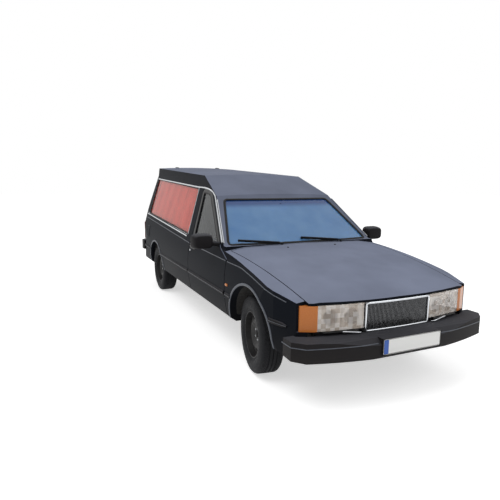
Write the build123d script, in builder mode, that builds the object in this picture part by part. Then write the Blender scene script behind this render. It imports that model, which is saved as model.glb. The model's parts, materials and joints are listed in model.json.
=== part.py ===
from math import atan2, cos, hypot, pi, radians, sin
import os

from build123d import *

os.makedirs("parts", exist_ok=True)

# Hearse on a long-wheelbase estate car. Millimetres. +X forward, +Y left, +Z up.
# The origin is on the road, in the middle of the car's length and width.

# Lengths that set the whole car.
WHEELBASE = 3120
FRONT_OVERHANG = 915
REAR_OVERHANG = 1065
X_NOSE = (WHEELBASE + FRONT_OVERHANG + REAR_OVERHANG) / 2
X_TAIL = -X_NOSE
X_FRONT_AXLE = X_NOSE - FRONT_OVERHANG
X_REAR_AXLE = X_FRONT_AXLE - WHEELBASE
HALF_WIDTH = 874

# Heights of the body.
SILL_Z = 315
WAIST_Z = 600
SHOULDER_Z = 870
BELT_Z = 938
NOSE_Z = 743
SCREEN_BASE_Z = 961
HEADER_Z = 1375
BREAK_Z = 1600
ROOF_REAR_Z = 1716
ROOF_CAMBER = 18

# Stations along the car.
X_BODY_FRONT = X_NOSE - 157
X_BODY_REAR = X_TAIL + 185
X_SCREEN_BASE = X_FRONT_AXLE - 579
X_DOOR_FRONT = X_FRONT_AXLE - 480
DOOR_LENGTH = 1100
X_DOOR_REAR = X_DOOR_FRONT - DOOR_LENGTH
X_HEADER = X_SCREEN_BASE - 566
X_BREAK = X_HEADER - 609
X_TAILGATE_FRONT = X_BODY_REAR + 115

# Walls and gaps.
WALL = 60
ROOF_WALL = 35
SKIN = 22
GLASS = 5
GLASS_DEPTH = 9
DEEP = 100
CABIN_GAP = 6
SHUT_GAP = 7
SEAM = 0.3
TRIM = 6

# Wheels.
TRACK = 1470
TYRE_RADIUS = 317
TYRE_WIDTH = 195
RIM_RADIUS = 190
FRONT_ARCH_RADIUS = 405
REAR_ARCH_RADIUS = 368
STEER_AT_REST = -8

# Steering axis of a front wheel, from the lower ball joint to the strut's top.
BALL_Y, BALL_Z = 665, 200
STRUT_TOP_Y, STRUT_TOP_Z = 565, 830

WHEEL_Y = TRACK / 2
SIDES = {"left": 1, "right": -1}


def kept(part, name):
    """Label a finished piece and write it to its own STEP file."""
    part.label = name
    export_step(part, f"parts/{name}.step")
    return part


def prism(points, plane, start, end, grow=0.0):
    """Extrude a closed outline of (a, b) points between two distances from a plane."""
    with BuildPart() as body:
        with BuildSketch(plane.offset(start)):
            with BuildLine():
                Polyline(*points, close=True)
            make_face()
            if grow:
                offset(amount=grow, kind=Kind.INTERSECTION)
        extrude(amount=end - start)
    return body.part


def box(x, y, z):
    """A block given by its (low, high) pair along each axis."""
    with BuildPart() as body:
        with Locations(((x[0] + x[1]) / 2, (y[0] + y[1]) / 2, (z[0] + z[1]) / 2)):
            Box(x[1] - x[0], y[1] - y[0], z[1] - z[0])
    return body.part


def bar(start, end, radius, flats=0):
    """A bar between two points, round or with a number of flats."""
    run = Vector(*end) - Vector(*start)
    with BuildPart() as body:
        with BuildSketch(Plane(origin=start, z_dir=run)):
            if flats:
                RegularPolygon(radius, flats)
            else:
                Circle(radius)
        extrude(amount=run.length)
    return body.part


def drum(x, z, radius, y_low, y_high):
    """A cylinder across the car, its axis at (x, z)."""
    with BuildPart() as body:
        with BuildSketch(Plane.XZ.offset(-y_low)):
            with Locations((x, z)):
                Circle(radius)
        extrude(amount=-(y_high - y_low))
    return body.part


def turned(outline, flats, capped=False):
    """Turn (radius, y) points about the Y axis in flats, which keep the piece light. A closed outline gives a
    ring, and an open one is capped at both ends."""
    rings = []
    for number in range(flats):
        turn = 2 * pi * number / flats
        rings.append([Vector(radius * cos(turn), y, radius * sin(turn)) for radius, y in outline])
    faces = []
    for near, far in zip(rings, rings[1:] + rings[:1]):
        for index in range(1 if capped else 0, len(outline)):
            faces.append(Face(Wire.make_polygon([near[index - 1], near[index], far[index], far[index - 1]])))
    if capped:
        faces += [Face(Wire.make_polygon([ring[end] for ring in rings])) for end in (0, -1)]
    return Solid(Shell(faces))


# Outlines of the body: seen from the side, from the front (one half), and from above (one half).
FRONT_PLANE = Plane.YZ
SIDE_PLANE = Plane.XZ
BONNET_RISE = 35
SIDE_LOWER = [
    (X_BODY_FRONT, NOSE_Z),
    (X_BODY_FRONT, 560),
    (X_BODY_FRONT - 45, 420),
    (X_BODY_FRONT - 170, SILL_Z),
    (X_BODY_REAR + 55, SILL_Z),
    (X_BODY_REAR, 620),
    (X_BODY_REAR + 20, 1000),
    (X_BODY_REAR + 80, ROOF_REAR_Z + ROOF_CAMBER + 60),
    (X_BREAK, BREAK_Z + ROOF_CAMBER + 120),
    (X_HEADER, HEADER_Z + 60),
    (X_HEADER, HEADER_Z),
    (X_SCREEN_BASE, SCREEN_BASE_Z),
]
HALF_SECTION_SILL = [(0, SILL_Z), (790, SILL_Z), (838, SILL_Z + 35)]
HALF_SECTION_TOP = [(850, SHOULDER_Z), (826, BELT_Z), (608, BREAK_Z), (588, 1800), (0, 1800)]
PLAN_NOSE = [(X_BODY_FRONT - 68, 690), (X_BODY_FRONT - 120, 790), (X_BODY_FRONT - 340, 852)]
PLAN_FLANK = [(X_FRONT_AXLE, HALF_WIDTH + 30), (X_REAR_AXLE - 300, HALF_WIDTH + 30)]
PLAN_TAIL = [(X_BODY_REAR + 95, 845), (X_BODY_REAR + 40, 780)]
CORNER_RADIUS = 45
SCREEN_SAGITTA = 45
SCREEN_HALF_BASE = 775


def body_form(inset):
    """The closed outer form of the body, with every face moved in by `inset`."""
    screen_run = X_SCREEN_BASE - X_HEADER
    screen_rise = HEADER_Z - SCREEN_BASE_Z
    screen_angle = atan2(screen_rise, screen_run)
    bonnet_mid = ((X_BODY_FRONT + X_SCREEN_BASE) / 2, 0, (NOSE_Z + SCREEN_BASE_Z) / 2 + BONNET_RISE)
    with BuildPart() as form:
        with BuildSketch(SIDE_PLANE):
            with BuildLine():
                Polyline(*SIDE_LOWER)
                ThreePointArc(SIDE_LOWER[-1], (bonnet_mid[0], bonnet_mid[2]), SIDE_LOWER[0])
            make_face()
            if inset:
                offset(amount=-inset, kind=Kind.INTERSECTION)
        extrude(amount=HALF_WIDTH + 100, both=True)
        with BuildSketch(FRONT_PLANE):
            with BuildLine():
                Polyline(*HALF_SECTION_SILL)
                ThreePointArc(HALF_SECTION_SILL[-1], (HALF_WIDTH, WAIST_Z), HALF_SECTION_TOP[0])
                Polyline(*HALF_SECTION_TOP, HALF_SECTION_SILL[0])
            make_face()
            mirror(about=Plane.YZ)
            if inset:
                offset(amount=-inset, kind=Kind.INTERSECTION)
        extrude(amount=X_NOSE, both=True, mode=Mode.INTERSECT)
        with BuildSketch(Plane.XY):
            with BuildLine():
                flank = PLAN_NOSE + PLAN_FLANK + PLAN_TAIL
                Polyline(*flank)
                Polyline(*[(x, -y) for x, y in flank])
                ThreePointArc(flank[0], (X_BODY_FRONT, 0), (flank[0][0], -flank[0][1]))
                ThreePointArc(flank[-1], (X_BODY_REAR, 0), (flank[-1][0], -flank[-1][1]))
            make_face()
            corners = [flank[0], flank[-1]]
            fillet([v for v in vertices() if any(hypot(v.X - x, abs(v.Y) - y) < 1 for x, y in corners)],
                   CORNER_RADIUS)
            if inset:
                offset(amount=-inset, kind=Kind.INTERSECTION)
        extrude(amount=2000, mode=Mode.INTERSECT)
        # The windscreen: an arc at its base, carried up its own slope.
        with BuildSketch(Plane.XY.offset(SCREEN_BASE_Z - screen_rise / 2)):
            shift = screen_run / 2
            back = X_SCREEN_BASE - SCREEN_SAGITTA + shift
            with BuildLine():
                ThreePointArc((back, -SCREEN_HALF_BASE), (X_SCREEN_BASE + shift, 0), (back, SCREEN_HALF_BASE))
                Polyline((back, SCREEN_HALF_BASE), (back - 40, 980), (X_NOSE + 900, 980),
                         (X_NOSE + 900, -980), (back - 40, -980), (back, -SCREEN_HALF_BASE))
            make_face()
            if inset:
                offset(amount=inset / sin(screen_angle), kind=Kind.INTERSECTION)
        screen_cut = extrude(amount=screen_rise * 1.9 / sin(screen_angle),
                             dir=(-screen_run, 0, screen_rise), mode=Mode.PRIVATE)
        with BuildPart(mode=Mode.PRIVATE) as above_bonnet:
            add(screen_cut)
            with Locations((0, 0, SCREEN_BASE_Z - 2 * inset - 300)):
                Box(3 * X_NOSE, 3 * HALF_WIDTH, 600, mode=Mode.SUBTRACT)
        add(above_bonnet.part, mode=Mode.SUBTRACT)
        # The roof: a cambered arc carried down the front slope and along the raised roof.
        for run_x, rise_z in ((X_HEADER - X_BREAK, HEADER_Z - BREAK_Z),
                              (X_BODY_REAR - X_BREAK, ROOF_REAR_Z - BREAK_Z)):
            with BuildSketch(FRONT_PLANE.offset(X_BREAK)):
                with BuildLine():
                    ThreePointArc((-608, BREAK_Z), (0, BREAK_Z + ROOF_CAMBER), (608, BREAK_Z))
                    Polyline((608, BREAK_Z), (900, BREAK_Z - 16), (900, BREAK_Z + 700),
                             (-900, BREAK_Z + 700), (-900, BREAK_Z - 16), (-608, BREAK_Z))
                make_face()
                if inset:
                    offset(amount=inset, kind=Kind.INTERSECTION)
            extrude(amount=hypot(run_x, rise_z) * 1.3, dir=(run_x, 0, rise_z), mode=Mode.SUBTRACT)
        # The bonnet's crown, falling towards the wings.
        with BuildLine(mode=Mode.PRIVATE) as crown_path:
            ThreePointArc((X_BODY_FRONT, 0, NOSE_Z), bonnet_mid, (X_SCREEN_BASE, 0, SCREEN_BASE_Z))
        with BuildSketch(FRONT_PLANE.offset(X_BODY_FRONT)):
            with BuildLine():
                Polyline((0, NOSE_Z), (640, NOSE_Z - 12), (900, NOSE_Z - 50), (900, NOSE_Z + 250),
                         (0, NOSE_Z + 250), close=True)
            make_face()
            mirror(about=Plane.YZ)
            if inset:
                offset(amount=inset, kind=Kind.INTERSECTION)
        sweep(path=crown_path.line, mode=Mode.SUBTRACT)
    return form.part


FORMS = {}


def form_at(inset):
    """The body form at a depth, made once."""
    if inset not in FORMS:
        FORMS[inset] = body_form(inset)
    return FORMS[inset]


def shell(outer, depth):
    """The layer of the body form between two depths."""
    with BuildPart() as layer:
        add(form_at(outer))
        add(form_at(depth), mode=Mode.SUBTRACT)
    return layer.part


def cut(base, keep=(), drop=(), extra=()):
    """Join extra solids to a base, keep what lies in each `keep`, and take each `drop` away."""
    with BuildPart() as piece:
        add(base)
        for solid in extra:
            add(solid)
        for region in keep:
            add(region, mode=Mode.INTERSECT)
        for region in drop:
            add(region, mode=Mode.SUBTRACT)
    return piece.part


def both(part, name):
    """Write a right-hand piece and its mirrored left-hand twin."""
    kept(part, f"{name}_right")
    kept(mirror(part, about=Plane.XZ, mode=Mode.PRIVATE), f"{name}_left")


def pair(part, name):
    """Write a right-hand piece and its mirror image as two solids of one node."""
    kept(Compound(children=[part, mirror(part, about=Plane.XZ, mode=Mode.PRIVATE)]), name)


# Regions that cut the body form into its panels.
SCREEN_SLOPE = (X_SCREEN_BASE - X_HEADER) / (HEADER_Z - SCREEN_BASE_Z)
DOOR_BOTTOM = SILL_Z + 30
DOOR_TOP = 1462
PILLAR_X = X_SCREEN_BASE - 126
DOOR_CORNER_Z = 1432


def on_pillar(x, z):
    """A point on a line parallel to the windscreen pillar, from x at the belt up to height z."""
    return (x - SCREEN_SLOPE * (z - BELT_Z), z)


DOOR = [
    (X_DOOR_FRONT, DOOR_BOTTOM), (X_DOOR_FRONT, SHOULDER_Z), (PILLAR_X + 20, BELT_Z),
    on_pillar(PILLAR_X + 20, DOOR_CORNER_Z), (X_DOOR_REAR - 75, DOOR_TOP), (X_DOOR_REAR - 3, BELT_Z),
    (X_DOOR_REAR, DOOR_BOTTOM),
]
GLASS_SILL = BELT_Z + 27
DOOR_WINDOW = [
    on_pillar(PILLAR_X - 46, GLASS_SILL), on_pillar(PILLAR_X - 46, DOOR_CORNER_Z - 35),
    (X_DOOR_REAR - 17, DOOR_TOP - 42), (X_DOOR_REAR + 85, GLASS_SILL),
]
LOAD_WINDOW = [
    (X_BREAK + 27, BELT_Z + 14), (X_BREAK - 63, 1455), (X_BODY_REAR + 170, 1547),
    (X_BODY_REAR + 230, BELT_Z + 104),
]
CANT_RAIL = [
    (X_BODY_REAR - 100, 1590), (X_BREAK, 1496), (X_DOOR_REAR - 75, 1480), (X_HEADER - 200, 1446),
    (X_HEADER - 100, HEADER_Z - 14), (X_NOSE, HEADER_Z - 14),
]
HEADER_HALF = 590
TAILGATE_Z = 625
TAILGATE = [
    (-715, TAILGATE_Z), (-752, SHOULDER_Z), (-742, BELT_Z + 30), (-545, ROOF_REAR_Z - 60),
    (-545, ROOF_REAR_Z + 200), (545, ROOF_REAR_Z + 200), (545, ROOF_REAR_Z - 60), (742, BELT_Z + 30),
    (752, SHOULDER_Z), (715, TAILGATE_Z),
]
TAILGATE_WINDOW = [(-655, BELT_Z + 62), (-500, ROOF_REAR_Z - 86), (500, ROOF_REAR_Z - 86), (655, BELT_Z + 62)]
SCREEN = [(-765, SCREEN_BASE_Z + 10), (-606, HEADER_Z - 20), (606, HEADER_Z - 20), (765, SCREEN_BASE_Z + 10)]
SCREEN_BAND = [
    (X_SCREEN_BASE + 120, SCREEN_BASE_Z - 40), (X_HEADER + 120, HEADER_Z + 20),
    (X_HEADER - 80, HEADER_Z + 20), (X_SCREEN_BASE - 80, SCREEN_BASE_Z - 40),
]
X_BONNET_REAR = X_SCREEN_BASE + 30
BONNET = [
    (X_BODY_FRONT + 20, -712), (X_BONNET_REAR, -778), (X_BONNET_REAR, 778), (X_BODY_FRONT + 20, 712),
]
BONNET_LIP = 16
LAMP_LOW, LAMP_HIGH = 540, 722
BUMPER_TOP_Z = 507
GRILLE_HALF = 296
X_LAMP_BACK = X_BODY_FRONT - 120
FAR = 2000


def side_prism(points, grow=0.0, inner_y=450):
    """A right-hand region: an (x, z) outline carried out across the car."""
    return prism(points, SIDE_PLANE, inner_y, 1000, grow)


screen_region = cut(prism(SCREEN, FRONT_PLANE, 200, X_NOSE), keep=[prism(SCREEN_BAND, SIDE_PLANE, -900, 900)])
tail_region = prism(TAILGATE, FRONT_PLANE, -X_NOSE, X_TAILGATE_FRONT)
tail_gap = prism(TAILGATE, FRONT_PLANE, -X_NOSE, X_TAILGATE_FRONT + SHUT_GAP, grow=SHUT_GAP)
bonnet_region = prism(BONNET, Plane.XY, NOSE_Z - BONNET_LIP, 1200)
bonnet_gap = prism(BONNET, Plane.XY, NOSE_Z - 2 * BONNET_LIP, 1200, grow=SHUT_GAP)
below_cant = prism(CANT_RAIL + [(X_NOSE, 0), (X_BODY_REAR - 100, 0)], SIDE_PLANE, -900, 900)
above_cant = prism(CANT_RAIL + [(X_NOSE, FAR), (X_BODY_REAR - 100, FAR)], SIDE_PLANE, -900, 900)
right_half = box((-X_NOSE, X_NOSE), (-1000, -420), (0, FAR))
rear_arch = drum(X_REAR_AXLE, TYRE_RADIUS, REAR_ARCH_RADIUS, -950, -600)
front_arch = drum(X_FRONT_AXLE, TYRE_RADIUS, FRONT_ARCH_RADIUS, -950, -440)
scuttle_region = box(
    (X_SCREEN_BASE - 140, X_BONNET_REAR - SHUT_GAP), (-760, 760), (SHOULDER_Z - 20, SCREEN_BASE_Z + 12)
)
FLOOR_HALF = 720
DOOR_GAP = 10
header_region = box((X_BREAK, X_HEADER + 100), (-HEADER_HALF, HEADER_HALF), (HEADER_Z - 14, FAR))
door_cavity = cut(side_prism(DOOR), drop=[form_at(WALL + CABIN_GAP)])
door_cavities = cut(door_cavity, extra=[mirror(door_cavity, about=Plane.XZ, mode=Mode.PRIVATE)])

# Hinges: a pin held at both ends by the body, and an ear of the door or tailgate round it.
PIN_RADIUS = 3.5
EAR_RADIUS = 6.5
EAR_HALF = 14
PIN_HALF = 24
LEAF_RADIUS = 3
DOOR_HINGE_Y = HALF_WIDTH - 10
DOOR_HINGES_Z = (545, 690)
X_DOOR_PIN = X_DOOR_FRONT - DOOR_GAP
TAIL_HINGES_Y = (-330, 330)
TAIL_PIN_Z = ROOF_REAR_Z + 12


def door_pin(z):
    """The pin of a right-hand door hinge at height z, with the two arms that hold it to the body."""
    with BuildPart() as pin:
        ends = [(X_DOOR_PIN, -DOOR_HINGE_Y, z + rise) for rise in (-PIN_HALF, PIN_HALF)]
        add(bar(*ends, PIN_RADIUS))
        for level in (z - PIN_HALF + LEAF_RADIUS, z + PIN_HALF - LEAF_RADIUS):
            foot = (X_DOOR_FRONT + 3, -DOOR_HINGE_Y + 16, level)
            add(bar((X_DOOR_PIN, -DOOR_HINGE_Y, level), foot, LEAF_RADIUS, flats=6))
    return pin.part


def door_ear(z, radius):
    """The door's ear round a hinge pin, or the hole in it."""
    return bar((X_DOOR_PIN, -DOOR_HINGE_Y, z - EAR_HALF), (X_DOOR_PIN, -DOOR_HINGE_Y, z + EAR_HALF), radius)


def door_notch(z):
    """The room in the door's edge for the ends of a hinge pin."""
    sides = ((z - PIN_HALF - 3, z - EAR_HALF), (z + EAR_HALF, z + PIN_HALF + 3))
    return [
        box((X_DOOR_PIN - 12, X_DOOR_FRONT), (-DOOR_HINGE_Y - 5.5, -DOOR_HINGE_Y + 22), span)
        for span in sides
    ]


def tail_pin(y):
    """The pin of a tailgate hinge at distance y from the middle, with its two ears on the roof."""
    ear = [(-3, -1.5), (-3, 3.5), (15, 3.5), (60, -4), (60, -20), (12, -20), (12, -1.5)]
    outline = [(X_TAILGATE_FRONT + x, TAIL_PIN_Z + z) for x, z in ear]
    with BuildPart() as pin:
        add(drum(X_TAILGATE_FRONT, TAIL_PIN_Z, PIN_RADIUS, y - PIN_HALF, y + PIN_HALF))
        add(prism(outline, SIDE_PLANE, -y + EAR_HALF + 4, -y + PIN_HALF))
        add(prism(outline, SIDE_PLANE, -y - PIN_HALF, -y - EAR_HALF - 4))
    return pin.part


def tail_ear(y):
    """The tailgate's ear round a hinge pin, with its foot on the tailgate's top."""
    foot = [(0, 6), (-45, -2), (-45, -16), (0, -16)]
    with BuildPart() as ear:
        add(drum(X_TAILGATE_FRONT, TAIL_PIN_Z, EAR_RADIUS, y - EAR_HALF, y + EAR_HALF))
        add(prism([(X_TAILGATE_FRONT + x, TAIL_PIN_Z + z) for x, z in foot], SIDE_PLANE, -y - EAR_HALF,
                  -y + EAR_HALF))
    return ear.part


# Side panel: sill, windscreen pillar, door post, quarter panel and rear pillar in one.
POST = (X_DOOR_FRONT - 75, X_DOOR_FRONT + 5)
side = cut(
    shell(0, WALL),
    extra=[cut(shell(0, DEEP), keep=[box(POST, (-1000, -420), (0, SCREEN_BASE_Z - 60))])],
    keep=[right_half, below_cant, box((-X_NOSE, X_DOOR_FRONT + 5), (-1000, 0), (0, FAR))],
    drop=[
        door_cavity, header_region,
        side_prism(LOAD_WINDOW), screen_region, scuttle_region, tail_gap, bonnet_gap, rear_arch,
        box((-X_NOSE, X_NOSE), (-FLOOR_HALF, 0), (0, TAILGATE_Z)),
    ],
)
both(cut(side, extra=[door_pin(z) for z in DOOR_HINGES_Z]), "side")

# Roof: windscreen header, front slope and raised deck.
roof = cut(
    shell(0, ROOF_WALL),
    keep=[cut(above_cant, extra=[header_region])],
    drop=[door_cavities, screen_region, tail_gap,
          box((-X_NOSE, X_BODY_REAR + 60), (-900, 900), (0, ROOF_REAR_Z - 60))],
)
kept(cut(roof, extra=[tail_pin(y) for y in TAIL_HINGES_Y]), "roof")

# Scuttle: the panel between bonnet and windscreen.
scuttle_half = cut(
    shell(0, ROOF_WALL), keep=[scuttle_region, box((0, X_NOSE), (-900, 0), (0, FAR))],
    drop=[screen_region, bonnet_gap],
)
kept(cut(scuttle_half, extra=[mirror(scuttle_half, about=Plane.XZ, mode=Mode.PRIVATE)]), "scuttle")

# Front wings, with the wheel arch cut and the lamps' corner open.
lamp_bay = box((X_LAMP_BACK - SEAM, X_NOSE), (-900, 900), (LAMP_LOW - SEAM, FAR))
wing = cut(
    shell(0, WALL),
    keep=[box((X_DOOR_FRONT + 5 + SEAM, X_NOSE), (-1000, -640), (0, FAR))],
    drop=[front_arch, bonnet_gap, lamp_bay, box((0, X_NOSE), (-FLOOR_HALF, 0), (0, TAILGATE_Z))],
)
both(wing, "front_wing")

# Bonnet.
bonnet = cut(shell(0, SKIN), keep=[bonnet_region])
kept(bonnet, "bonnet")

# Doors: an outer skin that fills its aperture, and a smaller inner body behind it.
door = cut(
    cut(shell(0, SKIN), keep=[side_prism(DOOR, -DOOR_GAP)]),
    extra=[cut(shell(SKIN, WALL), keep=[side_prism(DOOR, -DOOR_GAP - 12)])],
    drop=[side_prism(DOOR_WINDOW), box((-X_NOSE, X_NOSE), (-FLOOR_HALF - CABIN_GAP, 0), (0, GLASS_SILL))],
)
hinged_door = cut(
    door, drop=[room for z in DOOR_HINGES_Z for room in door_notch(z)],
    extra=[door_ear(z, EAR_RADIUS) for z in DOOR_HINGES_Z],
)
both(cut(hinged_door, drop=[door_ear(z, PIN_RADIUS + SEAM) for z in DOOR_HINGES_Z]), "door")
pane = shell(GLASS_DEPTH, GLASS_DEPTH + GLASS)
both(cut(pane, keep=[side_prism(DOOR_WINDOW, -SEAM)]), "door_glass")
pair(cut(pane, keep=[side_prism(LOAD_WINDOW, -SEAM)]), "side_glass")
screen_pane = cut(
    prism(SCREEN, FRONT_PLANE, 200, X_NOSE, grow=-SEAM), keep=[prism(SCREEN_BAND, SIDE_PLANE, -900, 900)]
)
kept(cut(pane, keep=[screen_pane]), "windscreen")

# Tailgate.
tailgate = cut(
    shell(0, WALL), keep=[tail_region],
    drop=[prism(TAILGATE_WINDOW, FRONT_PLANE, -X_NOSE, X_BODY_REAR + 200),
          box((X_BODY_REAR + 60 + 45, X_NOSE), (-900, 900), (0, ROOF_REAR_Z - 60))],
)
tail_bores = [
    drum(X_TAILGATE_FRONT, TAIL_PIN_Z, PIN_RADIUS + SEAM, y - PIN_HALF, y + PIN_HALF) for y in TAIL_HINGES_Y
]
kept(cut(tailgate, extra=[tail_ear(y) for y in TAIL_HINGES_Y], drop=tail_bores), "tailgate")
kept(cut(pane, keep=[prism(TAILGATE_WINDOW, FRONT_PLANE, -X_NOSE, X_BODY_REAR + 120, grow=-SEAM)]),
     "tailgate_glass")

# Rear panel under the tailgate, between the side panels.
rear_panel = cut(
    shell(0, WALL),
    keep=[box((-X_NOSE, X_BODY_REAR + 120), (-FLOOR_HALF + SEAM, FLOOR_HALF - SEAM),
              (0, TAILGATE_Z - SHUT_GAP))],
)


# Towing eyes: an ear under each end of the car, with a cross hole.
EYE_Y = 400
EYE_THICK = 14
EYE_HOLE_RADIUS = 15
EYE_NECK = 20


def towing_eye(x, z, top):
    """An ear whose hole is at (x, z), hung from the panel at height `top`."""
    with BuildPart() as ear:
        add(drum(x, z, 2 * EYE_HOLE_RADIUS, -EYE_Y - EYE_THICK / 2, -EYE_Y + EYE_THICK / 2))
        thickness = (-EYE_Y - EYE_THICK / 2, -EYE_Y + EYE_THICK / 2)
        add(box((x - EYE_NECK / 2, x + EYE_NECK / 2), thickness, (z, top)))
        add(drum(x, z, EYE_HOLE_RADIUS, -EYE_Y - EYE_THICK, -EYE_Y + EYE_THICK), mode=Mode.SUBTRACT)
    return ear.part


rear_eye = towing_eye(X_BODY_REAR + 85, SILL_Z - 27, SILL_Z + 20)
kept(cut(rear_panel, extra=[rear_eye]), "rear_panel")

# Floor: a low pan in the cabin, a riser and a raised deck over the rear axle, with its wheelhouses.
FLOOR_THICK = 30
LOAD_FLOOR_Z = 560
X_BULKHEAD = X_DOOR_FRONT + 10
X_RISER = X_REAR_AXLE + 480
LINER = 10
LINER_INNER_REAR = 600
inside = form_at(WALL + SEAM)
PAN_Z = SILL_Z + 3
PAN_TOP = PAN_Z + FLOOR_THICK
X_LOAD_END = X_BODY_REAR + WALL - 20
RISER_LEAN = 80
floor_outline = [
    (X_BULKHEAD, PAN_Z), (X_RISER - FLOOR_THICK, PAN_Z), (X_RISER - FLOOR_THICK - RISER_LEAN, LOAD_FLOOR_Z),
    (X_LOAD_END, LOAD_FLOOR_Z), (X_LOAD_END, LOAD_FLOOR_Z + FLOOR_THICK),
    (X_RISER - RISER_LEAN, LOAD_FLOOR_Z + FLOOR_THICK), (X_RISER, PAN_TOP), (X_BULKHEAD, PAN_TOP),
]
floor_slab = prism(floor_outline, SIDE_PLANE, -900, 900)
rear_house = cut(
    drum(X_REAR_AXLE, TYRE_RADIUS, REAR_ARCH_RADIUS + LINER, -900, -LINER_INNER_REAR),
    keep=[inside, box((-X_NOSE, X_NOSE), (-900, 0), (LOAD_FLOOR_Z - 180, FAR))],
)
rear_hole = drum(X_REAR_AXLE, TYRE_RADIUS, REAR_ARCH_RADIUS, -900, -LINER_INNER_REAR - LINER)
floor_pan = cut(
    cut(floor_slab, keep=[box((-X_NOSE, X_NOSE), (-FLOOR_HALF + SEAM, FLOOR_HALF - SEAM),
                              (0, SILL_Z + WALL + 5))]),
    extra=[cut(floor_slab, keep=[inside]), rear_house, mirror(rear_house, about=Plane.XZ, mode=Mode.PRIVATE)],
    drop=[rear_hole, mirror(rear_hole, about=Plane.XZ, mode=Mode.PRIVATE)],
)
kept(floor_pan, "floor_pan")

# Bulkhead between engine bay and cabin.
BULKHEAD_THICK = 20
bulkhead = cut(
    box((X_BULKHEAD + SEAM, X_BULKHEAD + BULKHEAD_THICK), (-900, 900), (PAN_Z, FAR)),
    keep=[cut(inside, extra=[box((X_BULKHEAD, X_NOSE), (-FLOOR_HALF + SEAM, FLOOR_HALF - SEAM),
                                 (SILL_Z, WAIST_Z))])],
)
kept(bulkhead, "bulkhead")

# Front frame: rails, inner wheelhouses with the strut towers, and the radiator panel across.
LINER_INNER_FRONT = 445
X_RADIATOR = X_BODY_FRONT - 165
RADIATOR_THICK = 45
TOWER_RADIUS = 78
BUFFER_RADIUS = 14
BUFFER_Y = 560
strut_top = Vector(X_FRONT_AXLE, -STRUT_TOP_Y, STRUT_TOP_Z)
ball = Vector(X_FRONT_AXLE, -BALL_Y, BALL_Z)
kingpin = (strut_top - ball).normalized()


def on_kingpin(z):
    """The point of the right-hand steering axis at height z."""
    return ball + kingpin * ((z - BALL_Z) / kingpin.Z)


SPRING_SEAT_Z = 668
tower = bar(tuple(on_kingpin(SPRING_SEAT_Z + 20)), tuple(strut_top), TOWER_RADIUS)
tower_hole = bar(
    tuple(on_kingpin(SPRING_SEAT_Z - 40)), tuple(on_kingpin(STRUT_TOP_Z - 10)), TOWER_RADIUS - 14
)
apron = box(
    (X_BULKHEAD + BULKHEAD_THICK + SEAM, X_RADIATOR), (-LINER_INNER_FRONT - LINER, -LINER_INNER_FRONT),
    (350, 760),
)
house = cut(
    drum(X_FRONT_AXLE, TYRE_RADIUS, FRONT_ARCH_RADIUS + LINER, -900, -LINER_INNER_FRONT),
    keep=[inside, box((-X_NOSE, X_NOSE), (-900, 0), (TYRE_RADIUS + 60, FAR))],
)
rail = box(
    (X_BULKHEAD + BULKHEAD_THICK + SEAM, X_RADIATOR), (-LINER_INNER_FRONT, -LINER_INNER_FRONT + 60),
    (360, 470)
)
front_hole = drum(X_FRONT_AXLE, TYRE_RADIUS, FRONT_ARCH_RADIUS, -900, -LINER_INNER_FRONT - LINER)
half_frame = cut(apron, extra=[house, rail, tower], drop=[front_hole, tower_hole])
radiator = box((X_RADIATOR, X_RADIATOR + RADIATOR_THICK), (-640, 640), (350, 700))
x_buffer = X_RADIATOR + RADIATOR_THICK / 2
buffers = cut(
    bar((x_buffer, -BUFFER_Y, 690), (x_buffer, -BUFFER_Y, 900), BUFFER_RADIUS),
    extra=[bar((x_buffer, BUFFER_Y, 690), (x_buffer, BUFFER_Y, 900), BUFFER_RADIUS)],
    keep=[form_at(SKIN + SEAM)],
)
front_frame = cut(
    radiator, extra=[half_frame, mirror(half_frame, about=Plane.XZ, mode=Mode.PRIVATE)],
    keep=[form_at(ROOF_WALL)],
    drop=[bonnet_gap],
)
kept(cut(front_frame, extra=[buffers]), "front_frame")

# Lower front panel behind the bumper, with its cooling slot.
lower_front = cut(
    shell(0, ROOF_WALL),
    keep=[box((X_RADIATOR + RADIATOR_THICK + SEAM, X_NOSE), (-FLOOR_HALF + SEAM, FLOOR_HALF - SEAM),
              (0, LAMP_LOW - 40))],
    drop=[box((X_BODY_FRONT - 200, X_NOSE), (-380, 380), (385, 450))],
)
shelf = cut(
    box((X_RADIATOR + RADIATOR_THICK + SEAM, X_BODY_FRONT), (-640, 640), (LAMP_LOW - 50, LAMP_LOW - 40)),
    keep=[form_at(SKIN)],
)
front_eye = towing_eye(X_BODY_FRONT - 107, SILL_Z + 10, SILL_Z + 80)
front_panel = cut(lower_front, extra=[shelf, front_eye])
kept(front_panel, "front_panel")

# Grille: a frame round a row of upright bars, following the bowed nose.
GRILLE_LOW, GRILLE_HIGH = BUMPER_TOP_Z + SEAM, 724
GRILLE_FRAME = 14
BAR_PITCH, BAR_WIDTH, BAR_DEPTH = 11.5, 3.0, 16
NOSE_SAG = 68 / 690**2


def nose_x(y):
    """How far forward the bowed nose stands at a distance y from the middle."""
    return X_BODY_FRONT - NOSE_SAG * y * y


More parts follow.
